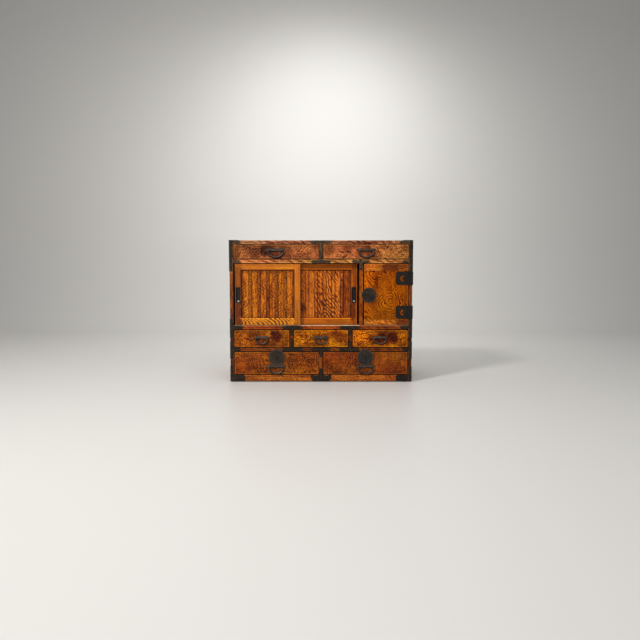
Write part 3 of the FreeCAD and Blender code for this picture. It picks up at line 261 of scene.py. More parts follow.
PALETTES = {
    # light, mid, dark, line
    "amber": [(230, 148, 58), (200, 114, 28), (150, 72, 14), (78, 32, 8)],
    "door": [(208, 120, 24), (164, 82, 8), (108, 46, 5), (58, 22, 4)],
    "gold": [(226, 140, 28), (154, 78, 12), (90, 38, 6), (42, 16, 5)],
    "orange": [(230, 152, 82), (178, 100, 44), (120, 58, 22), (54, 24, 10)],
    "red": [(206, 126, 66), (144, 82, 42), (92, 47, 25), (44, 21, 14)],
    "brown": [(188, 104, 38), (136, 66, 18), (90, 38, 9), (44, 17, 5)],
    "panel": [(216, 132, 56), (166, 86, 24), (110, 49, 12), (52, 20, 7)],
    "side": [(164, 98, 52), (122, 66, 33), (84, 42, 20), (44, 21, 13)],
    "bare": [(206, 168, 120), (186, 146, 98), (156, 114, 70), (118, 80, 46)],
}


def patches(k, x, z, spots, wob):
    """Soft-edged dark zones: (x, z, rx, rz, strength) in millimetres."""
    total = None
    for sx, sz, rx, rz, st in spots:
        dx = k.m("DIVIDE", k.sub(x, sx / 1000.0), rx / 1000.0)
        dz = k.m("DIVIDE", k.sub(z, sz / 1000.0), rz / 1000.0)
        d = k.m("SQRT", k.add(k.mul(dx, dx), k.mul(dz, dz)))
        d = k.add(d, wob)
        f = k.mul(k.sstep(d, 1.15, 0.45), st)
        total = f if total is None else k.m("MAXIMUM", total, f)
    return total


def rim_distance(k, x, z, rect):
    """Distance in metres to the border of an XZ rectangle."""
    x0, x1, z0, z1 = rect
    d1 = k.m("MINIMUM", k.sub(x, x0), k.sub(x1, x))
    d2 = k.m("MINIMUM", k.sub(z, z0), k.sub(z1, z))
    return k.m("MINIMUM", d1, d2)


def wood(name, axis="X", pal="orange", seed=0.0, figure="burl", lines=70.0,
         swirl=10.0, swirl_scale=6.0, spots=(), lights=(), ripple=0.0,
         ripple_ang=35.0, ripple_len=0.016, ripple_zone=None, flip=False,
         contrast=1.0, tone=1.0, rim=None, edge=0.9, rough=0.4,
         coat=0.03, boards=None, centre=None, stain=0.35, sat=1.0,
         cross=None, bead=None, battens=None, batten_tone=0.1, mottle=1.0,
         base=0.24, spec=0.15, glow=0.3, rim_s=1.0, rings=0.36, blotch=0.9,
         drift_s=1.0, tint=(1.0, 1.0, 1.0), sill=None, fineness=1.0,
         ripple_boards=None, ripple_warp=3.4, batten_line=0.88, wear=(),
         board_tone=1.0, spot_mul=(122, 78, 66), calm=1.0):
    """Lacquered hardwood.  boards: (axis, start, pitch) gives each board its
    own tone and figure.  rim: XZ rectangle whose border gets a painted
    shadow line, a painted highlight on the arris inside it and a darker band
    further in.
    cross: x range whose grain runs along X instead.  bead: opening with a
    painted highlight and a painted shadow seam along its bottom border and
    painted shade along its other borders.  battens: (start, pitch, half
    width) of cover strips, with painted shadow lines along their edges.
    sill: (z0, z1, x0, x1), a pale arris, worn and with a painted highlight,
    strongest from x0 to x1.
    tint: what the finished colour is multiplied by.
    ripple_boards: (x0, x1, weights) of the ripple on each board.
    wear: handles (x, z, half width, drop, post) whose bail and plate
    cast a painted shadow: a band a little below the bail and a strip under
    the plate, in metres.
    calm: below 1, the figure and stain are weaker behind the front edge, and
    the dark zones, painted shade on the side boards, are left out there."""
    mat, k = material(name)
    x, y, z, u, v, w = grain_frame(k, axis, seed)
    if cross is not None:
        inside = k.mul(k.m("GREATER_THAN", x, cross[0]),
                       k.m("LESS_THAN", x, cross[1]))
        u = k.mixf(inside, z, k.add(x, 3.0))
        v = k.mixf(inside, x, k.add(z, 2.0))
    tone_v = None
    rnd = None
    near_front = k.sstep(y, -0.2085, -0.2115)
    fig = 1.0 if calm == 1.0 else k.remap(near_front, 0, 1, calm, 1.0)
    off = seed * 3.17
    if boards:
        b_axis, start, pitch = boards
        src = {"X": x, "Y": y, "Z": z}[b_axis]
        idx = k.m("FLOOR", k.m("DIVIDE", k.sub(src, start), pitch))
        rnd = k.white(k.add(idx, seed * 7.3 + 0.5))
        tone_v = k.remap(rnd, 0, 1, -0.12 * board_tone, 0.16 * board_tone)
        u = k.add(u, k.mul(rnd, 5.0))
        w = k.add(w, k.mul(rnd, 2.0))
    P = k.comb(k.add(u, off), k.add(v, off * 0.37), k.add(w, off * 0.71))
    # gentle warps of the grain
    Pl = k.vmul(P, (0.45, 1.0, 1.0))
    w1x, w1y, w1z = k.sep(k.noise(Pl, 5.5, 2.0, 0.5, color=True))
    w2x, w2y, w2z = k.sep(k.noise(Pl, 26.0, 2.0, 0.55, color=True))
    if figure == "burl":
        s1, s2 = 0.085, 0.026
    elif figure == "wavy":
        s1, s2 = 0.045, 0.012
    else:
        s1, s2 = 0.022, 0.004
    vv = k.add(v, k.add(k.mul(k.sub(w1x, 0.5), s1),
                        k.mul(k.sub(w2x, 0.5), s2)))
    uu = k.add(u, k.add(k.mul(k.sub(w1y, 0.5), s1),
                        k.mul(k.sub(w2y, 0.5), s2)))
    ww = k.add(w, k.mul(k.sub(w1z, 0.5), s1 * 0.5))
    f = k.mul(vv, lines)
    if figure == "burl":
        Q = k.comb(k.add(k.mul(uu, 0.75), off), k.add(vv, off),
                   k.add(ww, off * 0.5))
        f = k.add(f, k.mul(k.noise(Q, swirl_scale, 1.0, 0.45), swirl * 1.6))
        # small closed eyes, the contour lines of a finer field
        f = k.add(f, k.mul(k.noise(Q, swirl_scale * 3.4, 1.0, 0.45, 0.5),
                           swirl * 0.85))
        stretch = (0.75, 1.0, 1.0)
    elif figure == "flat":
        Q = k.comb(k.add(k.mul(uu, 0.25), off), k.add(vv, off),
                   k.add(ww, off * 0.5))
        f = k.add(f, k.mul(k.noise(Q, swirl_scale, 1.0, 0.4), swirl))
        stretch = (0.22, 1.0, 1.0)
    else:
        Q = k.comb(k.add(k.mul(uu, 0.5), off), k.add(vv, off), ww)
        f = k.add(f, k.mul(k.noise(Q, swirl_scale, 1.5, 0.5), swirl))
        stretch = (0.4, 1.0, 1.0)
    if centre is not None:
        # rings that close round a centre: the eye of a swirl
        cx, cz, rx, rz, amount = centre
        dx = k.m("DIVIDE", k.sub(x, cx / 1000.0), rx / 1000.0)
        dz = k.m("DIVIDE", k.sub(z, cz / 1000.0), rz / 1000.0)
        dx = k.add(dx, k.mul(k.sub(w1y, 0.5), 1.6))
        dz = k.add(dz, k.mul(k.sub(w1z, 0.5), 1.6))
        dx = k.add(dx, k.mul(k.sub(w2y, 0.5), 0.5))
        dz = k.add(dz, k.mul(k.sub(w2z, 0.5), 0.5))
        d = k.m("SQRT", k.add(k.mul(dx, dx), k.mul(dz, dz)))
        near = k.sstep(d, 2.1, 0.7)
        f = k.mixf(near, f, k.add(k.mul(d, amount), k.mul(f, 0.12)))
    t = k.m("FRACT", f)
    fine = k.m("FRACT", k.mul(f, 3.0))
    # latewood line: slow darkening, then an abrupt edge
    ring = k.ramp(t, [(0.0, (0.15, 0.15, 0.15, 1)),
                      (0.10, (0.0, 0.0, 0.0, 1)),
                      (0.45, (0.18, 0.18, 0.18, 1)),
                      (0.80, (0.62, 0.62, 0.62, 1)),
                      (0.93, (1, 1, 1, 1)), (1.0, (0.35, 0.35, 0.35, 1))],
                  "EASE")
    fine_r = k.ramp(fine, [(0.0, (0.2, 0.2, 0.2, 1)),
                           (0.15, (0.0, 0.0, 0.0, 1)),
                           (0.85, (0.8, 0.8, 0.8, 1)), (1.0, (1, 1, 1, 1))])
    # how strong the rings are changes over the board
    amount = k.sstep(k.noise(P, 9.0, 2.0, 0.5), 0.25, 0.75)
    ringv = k.mul(ring, k.remap(amount, 0, 1, 0.5, 1.0))
    # fibres, pores and curl
    fib = k.noise(k.comb(k.mul(uu, 14.0), k.mul(vv, 420.0), k.mul(ww, 420.0)),
                  1.0, 3.0, 0.6)
    fib2 = k.noise(k.comb(k.mul(uu, 5.0), k.mul(vv, 110.0),
                          k.mul(ww, 110.0)), 1.0, 2.0, 0.55)
    pore = k.noise(k.comb(k.mul(uu, 90.0), k.mul(vv, 1500.0),
                          k.mul(ww, 1500.0)), 1.0, 1.0, 0.5)
    pore = k.sstep(pore, 0.62, 0.74)
    Ps = k.vmul(P, stretch)
    g = fineness
    mott = k.sstep(k.noise(Ps, 34.0 * g, 3.0, 0.6, 1.2), 0.34, 0.66)
    worm = k.m("ABSOLUTE", k.sub(k.noise(Ps, 40.0 * g, 2.0, 0.5, 0.9), 0.5))
    worm = k.sstep(worm, 0.060, 0.008)
    curl = k.m("ABSOLUTE", k.sub(k.noise(Ps, 92.0 * g, 1.0, 0.5, 0.7), 0.5))
    curl = k.sstep(curl, 0.075, 0.010)
    speck = k.sstep(k.noise(Ps, 84.0 * g, 2.0, 0.6, 0.8), 0.56, 0.70)
    big = k.noise(k.vmul(P, (0.5, 1.0, 1.0)), 7.5, 3.0, 0.55, 0.5)
    # value, 0 light .. 1 dark
    val = k.mul(ringv, rings * contrast)
    val = k.add(val, k.mul(k.sub(fine_r, 0.4), 0.12 * contrast))
    fm = k.mul(k.add(fig, 0.0), contrast * mottle)
    val = k.add(val, k.mul(k.mul(k.sub(mott, 0.5), 0.16), fm))
    val = k.add(val, k.mul(k.mul(k.sub(worm, 0.3), 0.26), fm))
    val = k.add(val, k.mul(k.mul(k.sub(curl, 0.3), 0.20), fm))
    val = k.sub(val, k.mul(k.mul(speck, 0.22), fm))
    val = k.add(val, k.mul(k.mul(k.sub(big, 0.5), blotch * contrast), fig))
    val = k.add(val, k.mul(k.sub(fib2, 0.5), 0.55))
    val = k.add(val, k.mul(k.sub(fib, 0.5), 0.32))
    if ripple > 0:
        a = math.radians(ripple_ang)
        ca, sa = math.cos(a) / ripple_len, math.sin(a) / ripple_len
        if flip and rnd is not None:
            side = k.sub(k.mul(k.m("GREATER_THAN", rnd, 0.42), 2.0), 1.0)
            ph = k.add(k.mul(u, ca), k.mul(k.mul(v, sa), side))
        else:
            ph = k.add(k.mul(u, ca), k.mul(v, sa))
        ph = k.add(ph, k.mul(k.noise(Pl, 17.0, 2.0, 0.5), ripple_warp))
        wave = k.m("SINE", k.mul(ph, 6.2832))
        wave = k.m("MULTIPLY_ADD", wave, 0.5, 0.5)
        wave = k.sstep(wave, 0.25, 0.95)
        wm = k.sstep(k.noise(P, 11.0, 1.0, 0.5), 0.28, 0.58)
        rp = k.mul(k.mul(k.sub(k.mul(wave, wm), 0.30), ripple), fig)
        if ripple_zone is not None:
            lo, hi, lx, hx = ripple_zone
            rp = k.mul(rp, k.mul(k.sstep(z, lo - 0.001, lo + 0.001),
                                 k.sstep(z, hi + 0.001, hi - 0.001)))
            rp = k.mul(rp, k.mul(k.sstep(x, lx - 0.001, lx + 0.001),
                                 k.sstep(x, hx + 0.001, hx - 0.001)))
        if ripple_boards is not None:
            bx0, bx1, weights = ripple_boards
            n = len(weights)
            wt = k.ramp(k.remap(x, bx0, bx1, 0.0, 1.0),
                        [(i / n, (q, q, q, 1)) for i, q in
                         enumerate(weights)], "CONSTANT")
            rp = k.mul(rp, wt)
        val = k.add(val, rp)
    val = k.add(val, base)
    if tone_v is not None:
        val = k.add(val, tone_v)
    val = k.m("ADD", val, 0.0, clamp=True)
    c = [srgb(*q) for q in PALETTES[pal]]
    col = k.ramp(val, [(0.0, c[0]), (0.34, c[1]), (0.66, c[2]), (1.0, c[3])],
                 "EASE")
    # slow drift of hue between yellow and red
    drift = k.noise(k.vmul(P, (0.6, 1.0, 1.0)), 4.6, 2.0, 0.5)
    col = k.hsv(col, k.remap(drift, 0.3, 0.7, 0.5 + 0.013 * drift_s,
                             0.5 - 0.013 * drift_s), sat, tone)
    # zones of darker stain and old finish; on the side boards and the sliding
    # doors most are painted shade in gaps, recesses and behind parts in front
    wob = k.mul(k.sub(k.noise(P, 22.0, 3.0, 0.6), 0.5), 1.7)
    if lights:
        sp = patches(k, x, z, lights, wob)
        col = k.hsv(col, 0.5, 1.0, k.add(1.0, k.mul(sp, 0.45)))
    if spots:
        sp = patches(k, x, z, spots, wob)
        if calm != 1.0:
            sp = k.mul(sp, near_front)
        dark = k.mix(1.0, col, srgb(*spot_mul), "MULTIPLY")
        col = k.mix(sp, col, dark)
    st = k.mul(k.sstep(k.noise(P, 13.0, 4.0, 0.62, 0.4), 0.48, 0.76), stain)
    st = k.mul(st, fig)
    col = k.mix(st, col, k.mix(1.0, col, srgb(132, 92, 82), "MULTIPLY"))
    col = k.mix(k.mul(pore, 0.55), col, srgb(40, 18, 10))
    ragged = k.mul(k.sub(k.noise(P, 60.0, 3.0, 0.6), 0.5), 0.006)
    if battens is not None:
        start, pitch, bh = battens
        ph = k.m("FRACT", k.add(k.m("DIVIDE", k.sub(x, start), pitch), 0.5))
        dist = k.mul(k.m("ABSOLUTE", k.sub(ph, 0.5)), pitch)
        # painted shadow lines along each batten edge
        line = k.m("ABSOLUTE", k.sub(dist, bh))
        line = k.sstep(k.add(line, k.mul(ragged, 0.25)), 0.0036, 0.0010)
        col = k.mix(k.mul(line, batten_line), col,
                    k.mix(1.0, col, srgb(76, 46, 34), "MULTIPLY"))
        top = k.sstep(dist, bh - 0.001, bh - 0.004)
        col = k.hsv(col, 0.5, 1.0, k.add(1.0, k.mul(top, batten_tone)))
    if bead is not None:
        # painted highlight on the arris below the opening, painted shade along
        # its other borders and a painted shadow seam below its bottom one
        d = rim_distance(k, x, z, bead)
        out = k.mul(d, -1.0)
        lit = k.mul(k.sstep(out, -0.001, 0.0006), k.sstep(out, 0.0068,
                                                          0.0045))
        shadow_seam = k.mul(k.sstep(out, 0.0062, 0.0072), k.sstep(out, 0.0095,
                                                           0.0078))
        below = k.sstep(z, bead[2] + 0.0004, bead[2] - 0.0004)
        col = k.hsv(col, 0.5, 0.96, k.add(1.0, k.mul(k.mul(lit, below),
                                                     0.5)))
        inner = k.mul(k.sstep(out, 0.0052, 0.0030),
                      k.sub(1.0, below))
        col = k.mix(k.mul(inner, 0.72), col,
                    k.mix(1.0, col, srgb(98, 60, 44), "MULTIPLY"))
        col = k.mix(k.mul(k.mul(shadow_seam, below), 0.5), col,
                    k.mix(1.0, col, srgb(104, 66, 50), "MULTIPLY"))
    if rim is not None:
        # painted shadow line at the border, inside it a painted highlight on
        # the arris, and further in a darker band
        d0 = k.add(rim_distance(k, x, z, rim), k.mul(ragged, 0.16))
        q = 0.001 * rim_s
        lit = k.mul(k.sstep(d0, 1.6 * q, 2.8 * q), k.sstep(d0, 6.4 * q,
                                                           4.0 * q))
        lit = k.mul(lit, k.remap(k.noise(P, 30.0, 3.0, 0.6), 0.3, 0.7, 0.25,
                                 1.0))
        col = k.mix(k.mul(lit, glow * 0.8), col, srgb(224, 150, 84))
        border_band = k.mul(k.sstep(k.add(d0, k.mul(ragged, 1.2)), 13.0 * q,
                             5.0 * q), 0.30)
        border_band = k.mul(border_band, k.sstep(d0, 4.0 * q, 7.0 * q))
        col = k.mix(border_band, col, k.mix(1.0, col, srgb(120, 80, 60),
                                     "MULTIPLY"))
        line = k.mul(k.sstep(d0, 2.5 * q, 1.1 * q), edge)
        col = k.mix(line, col, k.mix(1.0, col, srgb(66, 40, 30),
                                     "MULTIPLY"))
    for hx, hz, hw, drop, post in wear:
        # painted shadow of the bail a little below its own line, and under the
        # plate
        dx = k.m("ABSOLUTE", k.sub(x, hx + 0.0012))
        dz = k.m("MAXIMUM", k.sub(hz - 0.0035, z), 0.0)
        rx = k.m("POWER", k.m("DIVIDE", dx, hw), 2.5)
        rz = k.m("POWER", k.m("DIVIDE", dz, drop), 2.5)
        rd = k.m("POWER", k.add(rx, rz), 0.4)
        band = k.m("ABSOLUTE", k.sub(rd, 1.0))
        band = k.mul(k.sstep(band, 0.17, 0.05), k.sstep(z, hz, hz - 0.008))
        under = k.mul(k.sstep(z, hz - 0.0125, hz - 0.0085),
                      k.sstep(z, hz - 0.0035, hz - 0.0055))
        under = k.mul(under, k.sstep(dx, post + 0.004, post - 0.002))
        bail_shade = k.m("MAXIMUM", k.mul(band, 0.85), k.mul(under, 0.75))
        col = k.mix(bail_shade, col, k.mix(1.0, col, srgb(82, 56, 48),
                                      "MULTIPLY"))
    col = k.vmul(col, tint)
    # pale sill arris: wear and a painted highlight
    if sill is not None:
        lo, hi, lx, hx = sill
        pale = k.mul(k.sstep(z, lo - 0.0005, lo + 0.0005),
                     k.sstep(z, hi + 0.0005, hi - 0.0005))
        span = k.mul(k.sstep(x, lx - 0.02, lx + 0.005),
                     k.sstep(x, hx + 0.01, hx - 0.005))
        pale = k.mul(pale, k.remap(span, 0, 1, 0.40, 0.92))
        pale = k.mul(pale, k.remap(k.noise(P, 46.0, 3.0, 0.6), 0.3, 0.6,
                                   0.55, 1.0))
        col = k.mix(pale, col, srgb(240, 206, 166))
    rr = k.add(rough, k.mul(k.sub(mott, 0.5), 0.14))
    rr = k.add(rr, k.mul(ringv, 0.06))
    rr = k.add(rr, k.mul(pore, 0.2))
    hgt = k.add(k.mul(ringv, -0.35), k.mul(fib, 0.30))
    hgt = k.add(hgt, k.mul(pore, -0.6))
    hgt = k.add(hgt, k.mul(mott, 0.35))
    nrm = k.bump(hgt, 0.55, 0.0006)
    k.finish(col, k.m("ADD", rr, 0.0, clamp=True), nrm, coat=coat,
             coat_rough=0.22, specular=spec)
    return mat


def bare_wood(name, axis="X", pal="bare", seed=0.0, boards=None, tone=1.0,
              lines=95.0, swirl=4.0):
    """Unfinished planed softwood for the inside, dulled by age."""
    mat, k = material(name)
    x, y, z, u, v, w = grain_frame(k, axis, seed)
    off = seed * 2.3
    tone_v = None
    if boards:
        b_axis, start, pitch = boards
        src = {"X": x, "Y": y, "Z": z}[b_axis]
        idx = k.m("FLOOR", k.m("DIVIDE", k.sub(src, start), pitch))
        rnd = k.white(k.add(idx, seed * 5.1 + 0.5))
        tone_v = k.remap(rnd, 0, 1, -0.18, 0.18)
        u = k.add(u, k.mul(rnd, 4.0))
    P = k.comb(k.add(u, off), k.add(v, off * 0.4), k.add(w, off * 0.7))
    wv = k.sub(k.noise(k.vmul(P, (0.22, 1, 1)), 7.0, 2.0, 0.5), 0.5)
    vv = k.add(v, k.mul(wv, 0.05))
    f = k.add(k.mul(vv, lines), k.mul(k.add(w, 0.0), lines))
    t = k.m("FRACT", f)
    ring = k.ramp(t, [(0.0, (0.2, 0.2, 0.2, 1)), (0.2, (0, 0, 0, 1)),
                      (0.8, (0.7, 0.7, 0.7, 1)), (0.95, (1, 1, 1, 1)),
                      (1.0, (0.4, 0.4, 0.4, 1))], "EASE")
    fib = k.noise(k.comb(k.mul(u, 9.0), k.mul(vv, 380.0), k.mul(w, 380.0)),
                  1.0, 3.0, 0.6)
    big = k.noise(P, 5.0, 3.0, 0.55)
    val = k.add(k.mul(ring, 0.38), k.mul(k.sub(fib, 0.5), 0.5))
    val = k.add(val, k.mul(k.sub(big, 0.5), 0.9))
    val = k.add(val, 0.28)
    if tone_v is not None:
        val = k.add(val, tone_v)
    c = [srgb(*q) for q in PALETTES[pal]]
    col = k.ramp(k.m("ADD", val, 0.0, clamp=True),
                 [(0.0, c[0]), (0.4, c[1]), (0.75, c[2]), (1.0, c[3])])
    col = k.hsv(col, 0.5, 1.0, tone)
    stain = k.sstep(k.noise(P, 9.0, 4.0, 0.6, 0.5), 0.55, 0.8)
    col = k.mix(k.mul(stain, 0.45), col,
                k.mix(1.0, col, srgb(170, 140, 116), "MULTIPLY"))
    hgt = k.add(k.mul(ring, 0.35), k.mul(fib, 0.6))
    k.finish(col, k.remap(fib, 0.2, 0.8, 0.62, 0.80),
             k.bump(hgt, 0.5, 0.0005), specular=0.35)
    return mat


def forged_iron(name, seed=0.0, tone=1.0, rust=0.25, sheen=0.55, rough=0.46,
                dents=1.0, warm=0.5, ring=None, spec=0.4, edges=None,
                upward=None, scoop_highlight=None, speckle=0.3):
    """Oil-blackened wrought iron with hammer marks and brown bloom.
    ring: (x, z, radius) of a round plate whose rim is rubbed lighter.
    edges: distances from the middle at which upright edges get a painted
    highlight.
    upward: (z0, z1, gain), lighter from z0 up to z1: painted light from above.
    scoop_highlight: (x0, x1, z0, z1), a painted highlight on the pull's
    scooped lower end."""
    mat, k = material(name)
    tc = k.new("ShaderNodeTexCoord")
    P = k.vadd(tc.outputs["Object"], (seed, seed * 0.7, seed * 1.3))
    big = k.noise(P, 14.0, 4.0, 0.6, 0.4)
    med = k.noise(P, 70.0, 4.0, 0.62, 0.3)
    fine = k.noise(P, 520.0, 3.0, 0.6)
    ham = k.voronoi(P, 95.0, "SMOOTH_F1", 0.6)
    base = k.mix(k.sstep(big, 0.35, 0.68), srgb(24, 22, 19),
                 srgb(44, 38, 31))
    base = k.mix(k.mul(k.sstep(med, 0.52, 0.72), 0.55), base,
                 srgb(72, 69, 62))
    r = k.mul(k.sstep(k.noise(P, 33.0, 4.0, 0.65, 0.6), 0.50, 0.72), rust)
    base = k.mix(r, base, srgb(82, 52, 34))
    base = k.mix(k.mul(k.sstep(fine, 0.55, 0.75), 0.3), base,
                 srgb(12, 12, 12))
    rub = k.sstep(k.noise(P, 150.0, 2.0, 0.6, 0.4), 0.54, 0.68)
    base = k.mix(k.mul(rub, 0.5 * speckle), base, srgb(98, 84, 70))
    pit = k.sstep(k.noise(P, 120.0, 2.0, 0.6, 0.8), 0.46, 0.34)
    base = k.mix(k.mul(pit, 0.7 * speckle), base, srgb(14, 12, 10))
    base = k.mix(warm, base, k.mix(1.0, base, srgb(255, 226, 190),
                                   "MULTIPLY"))
    base = k.hsv(base, 0.5, 1.0, tone)
    # painted light from above: lighter higher up
    if upward is not None:
        x, y, z = k.sep(tc.outputs["Object"])
        gain = k.mul(k.sstep(z, upward[0], upward[1]), upward[2])
        gain = k.mul(gain, k.remap(med, 0.35, 0.65, 0.5, 1.3))
        base = k.hsv(base, 0.5, 1.0, k.add(1.0, gain))
    # painted highlight on the pull's scooped lower end
    if scoop_highlight is not None:
        x, y, z = k.sep(tc.outputs["Object"])
        b = k.mul(k.sstep(z, scoop_highlight[2] - 0.001, scoop_highlight[2] + 0.001),
                  k.sstep(z, scoop_highlight[3] + 0.001, scoop_highlight[3] - 0.001))
        b = k.mul(b, k.sstep(x, scoop_highlight[0] - 0.001, scoop_highlight[0] + 0.001))
        b = k.mul(b, k.sstep(x, scoop_highlight[1] + 0.001, scoop_highlight[1] - 0.001))
        base = k.mix(k.mul(b, 0.85), base, srgb(196, 190, 178))
    if ring is not None:
        x, y, z = k.sep(tc.outputs["Object"])
        dx, dz = k.sub(x, ring[0]), k.sub(z, ring[1])
        d = k.m("SQRT", k.add(k.mul(dx, dx), k.mul(dz, dz)))
        d = k.add(d, k.mul(k.sub(big, 0.5), 0.002))
        worn = k.mul(k.sstep(d, ring[2] - 0.0052, ring[2] - 0.0034),
                     k.sstep(d, ring[2] + 0.0006, ring[2] - 0.0006))
        worn = k.mul(worn, k.remap(med, 0.35, 0.65, 0.35, 1.0))
        base = k.mix(k.mul(worn, 0.5), base, srgb(104, 93, 80))
    # painted highlight along the upright edges
    if edges is not None:
        x, y, z = k.sep(tc.outputs["Object"])
        ax = k.m("ABSOLUTE", x)
        for e in edges:
            near = k.m("ABSOLUTE", k.sub(ax, e))
            near = k.sstep(near, 0.0026, 0.0008)
            near = k.mul(near, k.sstep(med, 0.42, 0.62))
            base = k.mix(k.mul(near, 0.6), base, srgb(104, 90, 74))
    rg = k.add(rough, k.mul(k.sub(med, 0.5), 0.35))
    rg = k.add(rg, k.mul(r, 0.3))
    hgt = k.add(k.mul(ham, 0.9 * dents), k.mul(med, 0.6))
    hgt = k.add(hgt, k.mul(fine, 0.12))
    k.finish(base, k.m("ADD", rg, 0.0, clamp=True),
             k.bump(hgt, 0.75, 0.0016), metallic=sheen, specular=spec)
    return mat


# ---------------------------------------------------------------------------
# softened edges on the carried-over pieces
# ---------------------------------------------------------------------------
def shells(mesh):
    """Vertex indices of each closed solid, for solids that touch.  The faces
    come solid by solid: one is complete when no edge is left open."""
    out, verts, open_edges = [], set(), {}
    at = [tuple(round(c * 1e6) for c in v.co) for v in mesh.vertices]
    for p in mesh.polygons:
        ids = list(p.vertices)
        verts.update(ids)
        for i, a in enumerate(ids):
            a, b = at[a], at[ids[(i + 1) % len(ids)]]
            if open_edges.get((b, a), 0) > 0:
                open_edges[(b, a)] -= 1
                if open_edges[(b, a)] == 0:
                    del open_edges[(b, a)]
            else:
                open_edges[(a, b)] = open_edges.get((a, b), 0) + 1
        if not open_edges:
            out.append(sorted(verts))
            verts = set()
    if verts:
        out.append(sorted(verts))
    return out


def soften(node, width, segments=2, angle=32.0, touching=False):
    """Worn arrises.  touching: the node's boards share corners, so each
    one is welded on its own and they stay separate solids."""
    obj = NODES[node]
    if touching:
        for i, ids in enumerate(shells(obj.data)):
            vg = obj.vertex_groups.new(name="board_%d" % i)
            vg.add(ids, 1.0, "REPLACE")
            wd = obj.modifiers.new("weld_%d" % i, "WELD")
            wd.merge_threshold = 0.00002
            wd.vertex_group = vg.name
    else:
        wd = obj.modifiers.new("weld", "WELD")
        wd.merge_threshold = 0.00002
    dc = obj.modifiers.new("flats", "DECIMATE")
    dc.decimate_type = "DISSOLVE"
    dc.angle_limit = math.radians(0.8)
    bv = obj.modifiers.new("edges", "BEVEL")
    bv.width = width
    bv.segments = segments
    bv.limit_method = "ANGLE"
    bv.angle_limit = math.radians(angle)
    bv.use_clamp_overlap = True
    bv.harden_normals = False
    wn = obj.modifiers.new("normals", "WEIGHTED_NORMAL")
    wn.keep_sharp = True
    for p in obj.data.polygons:
        p.use_smooth = True


def face(node, grow=0.0):
    """XZ rectangle of a node, optionally grown at its left and right."""
    lo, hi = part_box(node)
    return (lo[0] - grow, hi[0] + grow, lo[2], hi[2])
